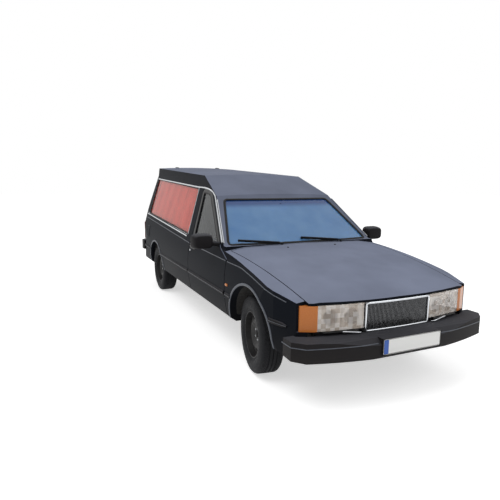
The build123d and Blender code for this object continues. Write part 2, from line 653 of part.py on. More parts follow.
grille_layer = shell(-TRIM, SKIN)
grille_block = box((X_NOSE - 400, X_NOSE), (-GRILLE_HALF, GRILLE_HALF), (GRILLE_LOW, GRILLE_HIGH))
grille_hole = box(
    (X_NOSE - 400, X_NOSE), (-GRILLE_HALF + GRILLE_FRAME, GRILLE_HALF - GRILLE_FRAME),
    (GRILLE_LOW + GRILLE_FRAME, GRILLE_HIGH - GRILLE_FRAME),
)
bar_count = int((GRILLE_HALF - GRILLE_FRAME) / BAR_PITCH)
with BuildPart() as grille:
    add(cut(grille_layer, keep=[grille_block], drop=[grille_hole]))
    for number in range(-bar_count, bar_count + 1):
        y = number * BAR_PITCH
        with Locations((nose_x(y) - BAR_DEPTH / 2 - 2, y, (GRILLE_LOW + GRILLE_HIGH) / 2)):
            Box(BAR_DEPTH, BAR_WIDTH, GRILLE_HIGH - GRILLE_LOW - GRILLE_FRAME)
kept(grille.part, "grille")

# Headlamps: a housing with a bowl, a lens over it, and the corner lamp round the wing.
LAMP_INNER, LAMP_OUTER, LAMP_END = 304, 655, 770


def lamp_zone(y_low, y_high, x_back):
    """The right-hand block that a lamp fills between two distances from the middle."""
    return box((x_back, X_NOSE), (-y_high, -y_low), (LAMP_LOW, LAMP_HIGH))


BOWL_RADIUS, BOWL_FRONT, BOWL_DEPTH = 78, 40, 90
bowl = turned([(BOWL_RADIUS, -BOWL_FRONT), (BOWL_RADIUS / 3, BOWL_DEPTH)], 24, capped=True)
bowls = [
    Pos(nose_x(y), -y, (LAMP_LOW + LAMP_HIGH) / 2) * Rot(0, 0, 90) * bowl
    for y in (LAMP_INNER + BOWL_RADIUS + 17, LAMP_OUTER - BOWL_RADIUS - 17)
]
headlamp = cut(
    shell(GLASS_DEPTH, DEEP),
    keep=[lamp_zone(LAMP_INNER, LAMP_OUTER, X_LAMP_BACK)], drop=bowls,
)
pair(headlamp, "headlamps")
pair(cut(shell(0, GLASS_DEPTH), keep=[lamp_zone(LAMP_INNER, LAMP_OUTER, X_LAMP_BACK)]), "lamp_lenses")
pair(cut(shell(0, ROOF_WALL), keep=[lamp_zone(LAMP_OUTER + SEAM, LAMP_END, X_LAMP_BACK)]), "corner_lamps")

# Bumpers: a bowed bar that wraps round the corners of the body.
BUMPER_HALF = 876
FRONT_BUMPER = [
    (X_NOSE - 300, 380), (X_NOSE - 18, 365), (X_NOSE, 400), (X_NOSE - 4, 450), (X_NOSE - 60, 500),
    (X_NOSE - 88, BUMPER_TOP_Z), (X_NOSE - 300, BUMPER_TOP_Z),
]
REAR_BUMPER = [
    (X_TAIL + 330, 480), (X_TAIL + 20, 469), (X_TAIL, 510), (X_TAIL, 560), (X_TAIL + 50, 606),
    (X_TAIL + 90, 617), (X_TAIL + 330, 617),
]
BUMPER_WRAP = 330


def bumper(profile, x_end, way):
    """Carry a bumper's profile across the car and trim it to its bowed plan."""
    with BuildPart() as piece:
        add(prism(profile, SIDE_PLANE, -900, 900))
        with BuildSketch(Plane.XY):
            with BuildLine():
                corner_x = x_end - way * 112
                ThreePointArc((corner_x, -800), (x_end, 0), (corner_x, 800))
                bend_x, wrap_x = x_end - way * 190, x_end - way * BUMPER_WRAP
                Polyline((corner_x, 800), (bend_x, BUMPER_HALF), (wrap_x, BUMPER_HALF),
                         (wrap_x, -BUMPER_HALF), (bend_x, -BUMPER_HALF), (corner_x, -800))
            make_face()
        extrude(amount=1000, mode=Mode.INTERSECT)
        add(form_at(-SEAM), mode=Mode.SUBTRACT)
    return piece.part


PLATE_LENGTH, PLATE_HEIGHT, PLATE_DEPTH = 520, 110, 3
PLATE_RIM = 3
FRONT_PLATE_Z = 445


def plate_block(depth, margin):
    """A block behind a number plate's outer face, wider than the plate by `margin` all round."""
    return box(
        (X_NOSE - depth, X_NOSE), (-PLATE_LENGTH / 2 - margin, PLATE_LENGTH / 2 + margin),
        (FRONT_PLATE_Z - PLATE_HEIGHT / 2 - margin, FRONT_PLATE_Z + PLATE_HEIGHT / 2 + margin),
    )


front_bumper = cut(
    bumper(FRONT_BUMPER, X_NOSE, 1), extra=[plate_block(75, PLATE_RIM)], drop=[plate_block(PLATE_DEPTH, SEAM)]
)
kept(front_bumper, "front_bumper")
kept(bumper(REAR_BUMPER, X_TAIL, -1), "rear_bumper")

# Tail lamps on the rear corners, beside the tailgate.
tail_lamp = cut(
    shell(-6, -SEAM),
    keep=[box((-X_NOSE, X_BODY_REAR + 100), (-900, -765), (650, 900))],
)
pair(tail_lamp, "tail_lamps")

# Door mirrors on the windscreen pillar's foot.
MIRROR_Y, MIRROR_Z = 895, 985
X_MIRROR = PILLAR_X - 60
MIRROR_CORNER = 24
with BuildPart() as mirror_body:
    for x, y, width, height in ((-45, -85, 205, 118), (45, -78, 165, 84)):
        side_y, side_z, corner = width / 2, height / 2, MIRROR_CORNER
        quarter = [(side_y - corner, side_z), (side_y, side_z - corner)]
        half_outline = quarter + [(b, -a) for b, a in reversed(quarter)]
        outline = half_outline + [(-b, a) for b, a in reversed(half_outline)]
        with BuildSketch(FRONT_PLANE.offset(X_MIRROR + x)):
            with BuildLine():
                Polyline(*[(-MIRROR_Y + y + b, MIRROR_Z + a) for b, a in outline], close=True)
            make_face()
    loft(ruled=True)
    with Locations((X_MIRROR, -MIRROR_Y + 20, MIRROR_Z - 20)):
        Box(60, 120, 50)
    add(form_at(-SEAM), mode=Mode.SUBTRACT)
both(mirror_body.part, "mirror")

# Cabin: dashboard, steering wheel, seats and the partition behind them.
DASH = [(-435, 600), (-465, 780), (-395, 905), (-195, 925), (-85, 870), (-85, 600)]
SEAT_Y = 370
DASH_SHOULDER = 832
dashboard = cut(
    prism([(X_DOOR_FRONT + x, z) for x, z in DASH], SIDE_PLANE, -900, 900),
    extra=[box((X_DOOR_FRONT - 90, X_BULKHEAD), (y - 20, y + 20), (700, 760)) for y in (-480, 480)],
    keep=[form_at(WALL + CABIN_GAP)],
    drop=[box((0, X_NOSE), end, (DASH_SHOULDER, FAR)) for end in ((-900, -FLOOR_HALF), (FLOOR_HALF, 900))],
)
kept(dashboard, "dashboard")

WHEEL_TILT = 62
X_STEERING = X_DOOR_FRONT - 600
with BuildPart() as steering_wheel:
    tilt = radians(WHEEL_TILT)
    column = Plane(origin=(X_STEERING, SEAT_Y, 880), x_dir=(0, 1, 0), z_dir=(-sin(tilt), 0, cos(tilt)))
    wheel_ring = turned([(192, 0), (185, 12), (171, 12), (164, 0), (171, -12), (185, -12)], 32)
    add(column.location * Rot(90, 0, 0) * wheel_ring)
    with BuildSketch(column):
        Circle(48)
        Rectangle(350, 34)
        with Locations((0, -88)):
            Rectangle(30, 170)
    extrude(amount=12, both=True)
    with BuildSketch(column):
        Circle(26)
    extrude(amount=-190)
    add(dashboard, mode=Mode.SUBTRACT)
kept(steering_wheel.part, "steering_wheel")

SEAT_PARTS = [
    ([(-230, 470), (250, 470), (270, 590), (235, 615), (-170, 585)], 250),
    ([(-220, 472), (-170, 590), (-205, 650), (-345, 1120), (-440, 1120), (-330, 600), (-330, 475)], 240),
    ([(-355, 1150), (-360, 1290), (-425, 1290), (-430, 1150)], 130),
]
X_SEAT = X_DOOR_FRONT - 760
seat_base = box((X_SEAT - 200, X_SEAT + 180), (-SEAT_Y - 200, -SEAT_Y + 200), (PAN_TOP + SEAM, 470))
with BuildPart() as seat:
    add(seat_base)
    for outline, half in SEAT_PARTS:
        add(prism([(X_SEAT + x, z) for x, z in outline], SIDE_PLANE, SEAT_Y - half, SEAT_Y + half))
    with Locations((X_SEAT - 393, -SEAT_Y, 1135)):
        Box(20, 60, 60)
pair(seat.part, "front_seats")

X_PARTITION = X_SEAT - 520
partition = cut(
    box((X_PARTITION, X_PARTITION + 25), (-900, 900), (PAN_TOP + SEAM, FAR)), keep=[inside],
    drop=[box((X_PARTITION - 50, X_PARTITION + 50), (-420, 420), (1020, 1390))],
)
kept(partition, "partition")

# Load deck with its guide rails and rollers.
DECK_HALF = 500
DECK_Z = LOAD_FLOOR_Z + FLOOR_THICK + SEAM
X_DECK = (X_BODY_REAR + 160, X_PARTITION - 30)
DECK_THICK = 35
DECK_TOP = DECK_Z + DECK_THICK
ROLLERS, ROLLER_RADIUS, ROLLER_HALF, ROLLER_PROUD = 7, 17, 266, 8
SLOT_ROOM = 5
roller_z = DECK_TOP + ROLLER_PROUD - ROLLER_RADIUS
roller_gap = (X_DECK[1] - X_DECK[0] - 260) / (ROLLERS - 1)
slot_half = ROLLER_HALF + SLOT_ROOM
with BuildPart() as load_deck:
    add(box((X_DECK[0], X_DECK[1]), (-DECK_HALF, DECK_HALF), (DECK_Z, DECK_TOP)))
    for y in (-330, 330):
        add(box((X_DECK[0] + 40, X_DECK[1] - 40), (y - 13, y + 13), (DECK_TOP, DECK_TOP + 20)))
    for number in range(ROLLERS):
        x = X_DECK[0] + 130 + number * roller_gap
        reach = ROLLER_RADIUS + SLOT_ROOM
        add(box((x - reach, x + reach), (-slot_half, slot_half), (DECK_Z, DECK_TOP)), mode=Mode.SUBTRACT)
        add(bar((x, -ROLLER_HALF, roller_z), (x, ROLLER_HALF, roller_z), ROLLER_RADIUS, flats=16))
        add(bar((x, -slot_half - 9, roller_z), (x, slot_half + 9, roller_z), 6, flats=6))
    for y in (-DECK_HALF, DECK_HALF - 25):
        add(box((X_RISER + 5, X_DECK[1]), (y, y + 25), (PAN_TOP + SEAM, DECK_Z)))
kept(load_deck.part, "load_deck")

# Engine block, and the gearbox with its shaft to the rear axle.
kept(box((X_BULKHEAD + 130, X_BULKHEAD + 790), (-270, 270), (270, 790)), "engine")
gearbox = turned([(95, 0), (60, 630)], 16, capped=True)
driveline_part = cut(
    Pos(X_BULKHEAD + 130 - SEAM, 0, 270) * Rot(0, 0, 90) * gearbox,
    extra=[bar((X_BULKHEAD - 490, 0, 265), (X_REAR_AXLE + 190, 0, 270), 32),
           bar((X_REAR_AXLE + 200, 0, 270), (X_REAR_AXLE + 150, 0, 270), 36)],
    drop=[box((X_REAR_AXLE, X_BULKHEAD + BULKHEAD_THICK + SEAM), (-200, 200), (SILL_Z + 2.7, FAR))],
)
kept(driveline_part, "driveline")

# Front suspension: crossmember, lower arms, rack, and a spring on each strut.
SPRING_RADIUS = 52
with BuildPart() as front_half:
    add(box((X_FRONT_AXLE - 60, X_FRONT_AXLE + 60), (-400, 0), (175, 250)))
    for lean in (-150, 120):
        add(bar((X_FRONT_AXLE + lean, -370, 205), (X_FRONT_AXLE, -BALL_Y + 10, 172), 14, flats=8))
    add(box((X_FRONT_AXLE - 165, X_FRONT_AXLE + 135), (-400, -350), (185, 225)))
    add(bar(tuple(on_kingpin(165)), tuple(on_kingpin(BALL_Z - 8)), 24, flats=12))
    add(bar((X_FRONT_AXLE - 130, -440, 235), (X_FRONT_AXLE - 130, 0, 235), 26, flats=12))
    add(box((X_FRONT_AXLE - 140, X_FRONT_AXLE - 20), (-300, -260), (200, 245)))
    add(box((X_FRONT_AXLE - 45, X_FRONT_AXLE + 45), (-400, -345), (240, 360 - SEAM)))
spring = bar(tuple(on_kingpin(SPRING_SEAT_Z)), tuple(on_kingpin(STRUT_TOP_Z - 10 - SEAM)), SPRING_RADIUS)
half_suspension = front_half.part
suspension = cut(half_suspension, extra=[mirror(half_suspension, about=Plane.XZ, mode=Mode.PRIVATE)])
springs = [spring, mirror(spring, about=Plane.XZ, mode=Mode.PRIVATE)]
kept(Compound(children=[suspension, *springs]), "front_suspension")

# Wheels. Each is modelled upright on the right, then turned about its steering axis at the front.
RIM_FACE_Y = WHEEL_Y + 22
WHEEL_FLATS = 36
BEAD_INSET = 16
HOLES = 10


def tyre(x):
    """A tyre at station x on the right-hand side, turned about its own axle."""
    half = TYRE_WIDTH / 2
    outer = [
        (RIM_RADIUS, half - BEAD_INSET), (RIM_RADIUS + 45, half), (TYRE_RADIUS - 52, half),
        (TYRE_RADIUS - 17, half - 9), (TYRE_RADIUS, half - 38),
    ]
    outline = outer + [(radius, -y) for radius, y in reversed(outer)]
    return Pos(x, -WHEEL_Y, TYRE_RADIUS) * turned(outline, WHEEL_FLATS)


def rim(x):
    """A pressed steel wheel with a ring of holes, a raised centre and its barrel."""
    half = TYRE_WIDTH / 2 - BEAD_INSET
    dish = WHEEL_Y - RIM_FACE_Y
    lip = RIM_RADIUS - SEAM
    outline = [
        (66, dish - 10), (100, dish - 34), (154, dish - 16), (lip - 12, dish - 8), (lip - 7, -half),
        (lip, -half), (lip, half), (lip - 7, half), (lip - 19, dish), (150, dish - 6), (105, dish - 24),
        (70, dish),
    ]
    with BuildPart() as body:
        add(turned(outline, WHEEL_FLATS, capped=True))
        with BuildSketch(Plane.XZ.offset(10)):
            with PolarLocations(128, HOLES):
                RegularPolygon(15, 8)
        extrude(amount=80, mode=Mode.SUBTRACT)
    return Pos(x, -WHEEL_Y, TYRE_RADIUS) * body.part


def steered(part, side):
    """Turn a right- or left-hand front piece about its steering axis to its place at rest."""
    lean = (0, -side * (BALL_Y - STRUT_TOP_Y), STRUT_TOP_Z - BALL_Z)
    axis = Axis((X_FRONT_AXLE, side * BALL_Y, BALL_Z), lean)
    return part.rotate(axis, STEER_AT_REST)


front_tyre, front_rim = tyre(X_FRONT_AXLE), rim(X_FRONT_AXLE)
for name, side in SIDES.items():
    for part, label in ((front_tyre, "tyre_front"), (front_rim, "rim_front")):
        placed = part if side < 0 else mirror(part, about=Plane.XZ, mode=Mode.PRIVATE)
        kept(steered(placed, side), f"{label}_{name}")
both(tyre(X_REAR_AXLE), "tyre_rear")
both(rim(X_REAR_AXLE), "rim_rear")

# Knuckle: hub, upright, strut tube and steering arm.
HUB_Y = RIM_FACE_Y - SEAM
FLANGE_RADIUS, FLANGE_THICK = 66, 16
hub_outline = [
    (40, -600), (40, -HUB_Y + FLANGE_THICK), (FLANGE_RADIUS, -HUB_Y + FLANGE_THICK), (FLANGE_RADIUS, -HUB_Y),
]
knuckle = cut(
    Pos(X_FRONT_AXLE, 0, TYRE_RADIUS) * turned(hub_outline, 24, capped=True),
    extra=[
        bar(tuple(on_kingpin(BALL_Z - 8 + 0.5)), tuple(on_kingpin(TYRE_RADIUS)), 24, flats=12),
        bar(tuple(on_kingpin(TYRE_RADIUS)), tuple(on_kingpin(SPRING_SEAT_Z - 0.5)), 26, flats=12),
        bar((X_FRONT_AXLE, -630, 270), (X_FRONT_AXLE - 120, -610, 262), 13, flats=8),
    ],
)
for name, side in SIDES.items():
    placed = knuckle if side < 0 else mirror(knuckle, about=Plane.XZ, mode=Mode.PRIVATE)
    kept(steered(placed, side), f"knuckle_{name}")

# Rear axle: tube, final drive, hubs, trailing arms and springs.
DRUM_RADIUS = 120
axle_outline = [
    (36, 0), (36, -HUB_Y + 110), (DRUM_RADIUS, -HUB_Y + 110), (DRUM_RADIUS, -HUB_Y + 30), (36, -HUB_Y + 30),
    (36, -HUB_Y + FLANGE_THICK), (FLANGE_RADIUS, -HUB_Y + FLANGE_THICK), (FLANGE_RADIUS, -HUB_Y),
]
with BuildPart() as axle_half:
    add(Pos(X_REAR_AXLE, 0, TYRE_RADIUS) * turned(axle_outline, 24, capped=True))
    add(box((X_REAR_AXLE - 30, X_RISER + 60), (-490, -440), (270, SILL_Z - 2)))
    add(box((X_RISER + 10, X_RISER + 60), (-490, -440), (270, PAN_Z - SEAM)))
    add(bar((X_REAR_AXLE, -465, 330), (X_REAR_AXLE, -465, LOAD_FLOOR_Z - SEAM), 55))
final_drive = turned([(60, -110), (112, -60), (112, 60), (60, 110)], 20, capped=True)
half_axle = axle_half.part
rear_axle = cut(
    Pos(X_REAR_AXLE, 0, TYRE_RADIUS) * final_drive, extra=[
        half_axle, mirror(half_axle, about=Plane.XZ, mode=Mode.PRIVATE),
        bar((X_REAR_AXLE, 0, 270), (X_REAR_AXLE + 150 - SEAM, 0, 270), 40),
    ],
)
kept(rear_axle, "rear_axle")

# Fuel tank and exhaust under the load floor.
TANK_Z = 330
kept(box((X_REAR_AXLE - 680, X_REAR_AXLE - 300), (-20, 520), (TANK_Z, LOAD_FLOOR_Z - SEAM)), "fuel_tank")
PIPE_RADIUS = 24
EXHAUST = [
    (X_BULKHEAD + 40, -200, 240), (X_RISER + 60, -300, 240), (X_REAR_AXLE + 200, -300, 290),
    (X_REAR_AXLE + 60, -300, 440), (X_REAR_AXLE - 130, -300, 440), (X_REAR_AXLE - 350, -300, 360),
]
with BuildPart() as exhaust:
    with BuildLine() as pipe_path:
        Polyline(*EXHAUST)
    with BuildSketch(Plane(origin=EXHAUST[0], z_dir=pipe_path.line % 0)):
        Circle(PIPE_RADIUS)
    sweep(path=pipe_path.line, transition=Transition.RIGHT)
    with BuildSketch(FRONT_PLANE.offset(X_REAR_AXLE - 740)):
        with Locations((-300, 352)):
            RectangleRounded(230, 154, 50)
    extrude(amount=400)
    add(bar((X_REAR_AXLE - 730, -300, 287), (X_TAIL + 130, -300, 287), PIPE_RADIUS))
    for x in (X_REAR_AXLE - 700, X_REAR_AXLE - 400):
        add(box((x, x + 30), (-315, -285), (420, LOAD_FLOOR_Z - SEAM)))
    add(box((X_RISER + 100, X_RISER + 130), (-330, -280), (250, PAN_Z - SEAM)))
kept(exhaust.part, "exhaust")

# Wipers lying along the foot of the windscreen, each on its spindle.
WIPERS = ((-250, -640), (420, 30))
X_SPINDLE = X_SCREEN_BASE + 14
with BuildPart() as wipers:
    for y_foot, y_tip in WIPERS:
        foot = (X_SPINDLE, y_foot, SCREEN_BASE_Z + 10)
        spindle = bar((X_SPINDLE, y_foot, SCREEN_BASE_Z - 30), (X_SPINDLE, y_foot, foot[2] + 6), 12, flats=8)
        arm = bar(foot, (X_SPINDLE - 62, y_tip, SCREEN_BASE_Z + 40), 5, flats=6)
        add(cut(spindle, extra=[arm], drop=[form_at(-SEAM)]))
kept(wipers.part, "wipers")
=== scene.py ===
# %% [markdown]
# # Dressing a hearse
# The car is a black hearse on the base of a large estate. Its panels, lamps, glass and wheels come from a CAD model
# that is fixed: nothing here moves or reshapes it. This notebook gives each of those pieces the finish that the real
# one has, and adds what a CAD model leaves out, such as bright strips, seals, tyre tread, padding and curtains.
# Every length is in metres. X runs forward, Y to the car's left and Z up, and the road is at Z = 0.

# %% Load the fixed frame
import json
from math import cos, hypot, pi, radians, sin

import bmesh
import bpy
import numpy as np
from mathutils import Matrix, Vector


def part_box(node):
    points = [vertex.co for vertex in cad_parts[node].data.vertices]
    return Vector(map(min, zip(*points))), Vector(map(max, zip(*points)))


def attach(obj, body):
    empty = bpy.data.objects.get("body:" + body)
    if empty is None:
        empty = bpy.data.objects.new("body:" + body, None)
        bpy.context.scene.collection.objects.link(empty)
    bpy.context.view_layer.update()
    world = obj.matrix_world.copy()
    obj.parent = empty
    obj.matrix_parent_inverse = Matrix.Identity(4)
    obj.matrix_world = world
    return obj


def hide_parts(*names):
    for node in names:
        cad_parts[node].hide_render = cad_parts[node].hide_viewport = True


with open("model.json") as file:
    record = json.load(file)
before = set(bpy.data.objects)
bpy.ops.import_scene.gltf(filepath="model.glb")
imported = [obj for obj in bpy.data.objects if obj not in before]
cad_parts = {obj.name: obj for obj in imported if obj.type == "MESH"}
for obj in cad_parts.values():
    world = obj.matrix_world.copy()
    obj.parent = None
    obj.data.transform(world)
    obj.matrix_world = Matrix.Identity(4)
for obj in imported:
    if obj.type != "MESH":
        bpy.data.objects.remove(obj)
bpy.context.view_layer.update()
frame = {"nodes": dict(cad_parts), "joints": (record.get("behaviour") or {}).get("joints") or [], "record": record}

joints = {joint["name"]: joint for joint in frame["joints"]}
SIDES = {"left": 1.0, "right": -1.0}

# %% [markdown]
# ## Putting a surface into a mesh
# Trim, seals and tyres are all surfaces that a formula describes, so each is worked out as one array of points on a
# grid. Joining neighbouring points by index gives the faces. That is quicker and more exact than editing by hand,
# and the same two helpers then serve every piece.

# %% Helpers for meshes


def grid_faces(rows, columns, wrap=False, caps=False, loop=False):
    """Quads between neighbouring rows and columns of a grid. A wrapped grid joins its last column to its first, a
    looped one its last row to its first, and caps close its first and last rows with one face each."""
    row = np.arange(rows if loop else rows - 1)[:, None]
    column = np.arange(columns if wrap else columns - 1)[None, :]
    beyond, after = (row + 1) % rows, (column + 1) % columns
    corners = (row * columns + column, row * columns + after, beyond * columns + after, beyond * columns + column)
    quads = np.stack(np.broadcast_arrays(*corners), axis=-1).reshape(-1, 4).tolist()
    if caps:
        first = np.arange(columns)
        quads += [first[::-1].tolist(), (first + (rows - 1) * columns).tolist()]
    return quads


def make_piece(name, form, material, body="root", closed=True, sharp=35):
    """Put a form, its points and its faces, into a mesh at the origin, shade it smooth up to the `sharp` angle, give
    it its material, and let it ride on a body."""
    points, faces = form
    mesh = bpy.data.meshes.new(name)
    mesh.from_pydata(np.asarray(points, float).reshape(-1, 3).tolist(), [], faces)
    if closed:
        edit = bmesh.new()
        edit.from_mesh(mesh)
        bmesh.ops.remove_doubles(edit, verts=edit.verts, dist=1e-6)
        bmesh.ops.recalc_face_normals(edit, faces=edit.faces)
        edit.to_mesh(mesh)
        edit.free()
    mesh.polygons.foreach_set("use_smooth", np.ones(len(mesh.polygons), bool))
    mesh.set_sharp_from_angle(angle=radians(sharp))
    mesh.materials.append(material)
    piece = bpy.data.objects.new(name, mesh)
    bpy.context.scene.collection.objects.link(piece)
    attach(piece, body)
    return piece


def unit(vectors):
    """Vectors divided by their own length."""
    vectors = np.asarray(vectors, float)
    return vectors / np.linalg.norm(vectors, axis=-1, keepdims=True)


def spread(points, step):
    """Points every `step` metres along straight runs between the given ones."""
    points = np.asarray(points, float)
    distance = np.concatenate([[0], np.cumsum(np.linalg.norm(np.diff(points, axis=0), axis=1))])
    wanted = np.linspace(0, distance[-1], max(2, int(distance[-1] / step) + 1))
    return np.stack([np.interp(wanted, distance, column) for column in points.T], axis=1)


def sweep(path, profile, outward, loop=False, taper=None):
    """Carry a closed profile along a path, which may be a loop. Each ring is the path's point, plus the profile's
    first value across the path, times the taper there, plus its second value along the outward direction."""
    path, profile = np.asarray(path, float), np.asarray(profile, float)
    outward = np.broadcast_to(unit(outward), path.shape)
    along = np.roll(path, -1, axis=0) - np.roll(path, 1, axis=0) if loop else np.gradient(path, axis=0)
    across = unit(np.cross(along, outward)) * (1.0 if taper is None else np.asarray(taper)[:, None])
    rings = path[:, None] + profile[None, :, :1] * across[:, None] + profile[None, :, 1:] * outward[:, None]
    return rings, grid_faces(len(path), len(profile), wrap=True, caps=not loop, loop=loop)


def crowned(width, height, sunk=0.002, count=9):
    """Profile of a strip: a flat foot, sunk a little, under half an oval of the given width and height."""
    turn = np.linspace(0, pi, count)
    top = np.stack([width / 2 * np.cos(turn), height * np.sin(turn) ** 0.6], axis=1)
    return np.vstack([[width / 2, -sunk], top, [-width / 2, -sunk]])


# %% [markdown]
# ## The body's outer skin as formulas
# Trim has to lie on panels that come from the CAD model. The model's form is simple enough to write down again: seen
# from the front its flank is an arc up to the shoulder and two straight lines above it, and seen from above its
# sides narrow towards nose and tail. A point of the skin is where the nearer of these two cuts it.

# %% The skin's half width at any place
SHOULDER_Z = 0.870
FRONT_AXLE, REAR_AXLE, WHEEL_RADIUS, HALF_TRACK = 1.635, -1.485, 0.317, 0.735
FLANK = np.array([(0.838, 0.350), (0.874, 0.600), (0.850, 0.870)])
UPPER = np.array([(0.850, 0.870), (0.826, 0.938), (0.608, 1.600)])
PLAN = np.array([(-2.325, 0.780), (-2.270, 0.845), (-1.785, 0.904), (1.635, 0.904), (2.053, 0.852), (2.273, 0.790),
                 (2.325, 0.690)])


def circle_through(points):
    """Centre and radius of the circle through three points, from the two lines midway between them."""
    (a, b), (c, d), (e, f) = points
    left = np.array([[c - a, d - b], [e - c, f - d]])
    right = np.array([(c * c - a * a + d * d - b * b) / 2, (e * e - c * c + f * f - d * d) / 2])
    centre = np.linalg.solve(left, right)
    return centre, hypot(a - centre[0], b - centre[1])


flank_centre, flank_radius = circle_through(FLANK)


def skin_y(x, z):
    """Half width of the body at a station x and a height z: the flank's arc below the shoulder and straight lines
    above it, cut to the plan's outline."""
    x, z = np.broadcast_arrays(np.asarray(x, float), np.asarray(z, float))
    arc = flank_centre[0] + np.sqrt(np.maximum(flank_radius**2 - (z - flank_centre[1]) ** 2, 0))
    section = np.where(z < SHOULDER_Z, arc, np.interp(z, UPPER[:, 1], UPPER[:, 0]))
    return np.minimum(section, np.interp(x, PLAN[:, 0], PLAN[:, 1]))


def on_skin(line, sign):
    """Points of the skin for a list of (x, z), with the outward direction at each, from the skin's own slopes."""
    x, z = np.asarray(line, float).T
    step = 0.002
    slope_x = (skin_y(x + step, z) - skin_y(x - step, z)) / (2 * step)
    slope_z = (skin_y(x, z + step) - skin_y(x, z - step)) / (2 * step)
    outward = unit(np.stack([-slope_x, np.ones_like(x), -slope_z], axis=1)) * (1, sign, 1)
    return np.stack([x, sign * skin_y(x, z), z], axis=1), outward


print("half width at the waist", round(float(skin_y(0, 0.6)), 4))

# %% [markdown]
# ## Materials
# Each finish starts from what the real material is. Most of them share one build: a noise at the size of the
# material's own grain shifts the colour between two close tones, the roughness between two values, and lifts the
# surface a little. What only one material has, such as the tint band of the windscreen, is added to it afterwards.

# %% Helpers for materials


def linear(code):
    """A hex colour as linear light: each sRGB part is a power of 2.4 of itself, or a twelfth near black."""
    parts = np.array([int(code[i : i + 2], 16) for i in (1, 3, 5)]) / 255
    light = np.where(parts <= 0.04045, parts / 12.92, ((parts + 0.055) / 1.055) ** 2.4)
    return (*light.tolist(), 1.0)


def add_node(tree, kind, sockets=None, **settings):
    """Add a shader node of a kind with its settings. Each socket gets a value, or a link where another node's output
    is given."""
    node = tree.nodes.new("ShaderNode" + kind)
    for name, value in settings.items():
        setattr(node, name, value)
    for name, value in (sockets or {}).items():
        if isinstance(value, bpy.types.NodeSocket):
            tree.links.new(value, node.inputs[name])
        else:
            node.inputs[name].default_value = value
    return node


def remap(tree, value, start, end, target=(0.0, 1.0), **settings):
    """Carry the range from `start` to `end` over to the target range, and hold its ends beyond."""
    sockets = {"Value": value, "From Min": start, "From Max": end}
    for socket, limit in zip(("To Min", "To Max"), target):
        sockets[socket] = limit
    return add_node(tree, "MapRange", sockets, **settings).outputs["Result"]


def mix(tree, share, first, second):
    """The first colour, and more of the second as the share goes from 0 to 1."""
    return add_node(tree, "Mix", {0: share, 6: first, 7: second}, data_type="RGBA").outputs[2]


def multiply(tree, first, second):
    """The product of two values."""
    return add_node(tree, "Math", {0: first, 1: second}, operation="MULTIPLY").outputs["Value"]


def tone_of(material):
    """A material's node tree, its base colour socket, and the tone that feeds that socket now."""
    tree = material.node_tree
    socket = tree.nodes["Principled BSDF"].inputs["Base Color"]
    return tree, socket, socket.links[0].from_socket


def upward_part(tree, source="Object"):
    """The Z part of a texture coordinate: the height for Object, the upward tilt for Normal."""
    vector = tree.nodes["Texture Coordinate"].outputs[source]
    return add_node(tree, "SeparateXYZ", {"Vector": vector}).outputs["Z"]


def finish(name, tones, grain, relief, roughness, **sockets):
    """A material on one noise of `grain` metres: it mixes two tones, runs between two roughnesses and lifts the
    surface by `relief` metres. Other sockets of the shader are given by name, with _ for a space."""
    material = bpy.data.materials.new(name)
    material.use_nodes = True
    tree = material.node_tree
    shader = tree.nodes["Principled BSDF"]
    for socket, value in sockets.items():
        shader.inputs[socket.replace("_", " ")].default_value = value
    place = add_node(tree, "TexCoord").outputs["Object"]
    noise = add_node(tree, "TexNoise", {"Vector": place, "Scale": 1 / grain, "Detail": 4.0}).outputs["Fac"]
    tree.links.new(mix(tree, noise, linear(tones[0]), linear(tones[1])), shader.inputs["Base Color"])
    tree.links.new(remap(tree, noise, 0.35, 0.65, roughness), shader.inputs["Roughness"])
    bump = add_node(tree, "Bump", {"Height": noise, "Distance": relief, "Strength": 0.6})
    tree.links.new(bump.outputs["Normal"], shader.inputs["Normal"])
    return material


# %% [markdown]
# ### Satin black paint
# The body has a satin enamel, sprayed on. Its black is not flat: what faces up takes a blue-grey tone that is dust
# and a painted sheen, the sky's reflection painted into the colour, so bonnet and roof read as slate while the flanks
# stay near black, and road dirt greys the sills. The dust and sheen follow the surface's own upward tilt and make the
# surface matt there. The dirt follows the height, and a soft noise breaks up both.

# %% Satin enamel
def add_dust_dirt_and_painted_sheen(material, dust_and_sheen_tone, thickness):
    """Add to a finish a tone where the surface faces up that is dust and a painted sheen in one, as thick as
    `thickness` gives from clear to patchy and thicker on a bonnet than on a roof, and grey-brown road dirt that fades
    out from the road up to 0.62 m."""
    tree, socket, base = tone_of(material)
    place, height = tree.nodes["Texture Coordinate"].outputs["Object"], upward_part(tree)
    cloud = add_node(tree, "TexNoise", {"Vector": place, "Scale": 2.2, "Detail": 3.0}).outputs["Fac"]
    # Dust and painted sheen on what faces up, thicker lower down so that the bonnet is paler than the roof.
    upward = remap(tree, upward_part(tree, "Normal"), 0.35, 0.98, interpolation_type="SMOOTHSTEP")
    dust_and_sheen_layer = multiply(tree, remap(tree, height, 1.45, 0.95, (0.92, 1.18)), remap(tree, cloud, 0.3, 0.7, thickness))
    share = multiply(tree, upward, dust_and_sheen_layer)
    dirt = multiply(tree, remap(tree, height, 0.62, 0.30, (0.0, 0.25)), cloud)
    tree.links.new(mix(tree, dirt, mix(tree, share, base, linear(dust_and_sheen_tone)), linear("#4a4640")), socket)
    rough = tree.nodes["Principled BSDF"].inputs["Roughness"]
    tree.links.new(remap(tree, share, 0.0, 1.0, (rough.links[0].from_socket, 0.95)), rough)


# Painted sheen: the blue-grey dust tone on bonnet and roof also stands for the sky's reflection, put into the colour.
paint = finish("satin_enamel", ("#101318", "#15181f"), 0.004, 0.00003, (0.38, 0.46), Specular_IOR_Level=0.018)
add_dust_dirt_and_painted_sheen(paint, "#838a9e", (0.62, 0.80))
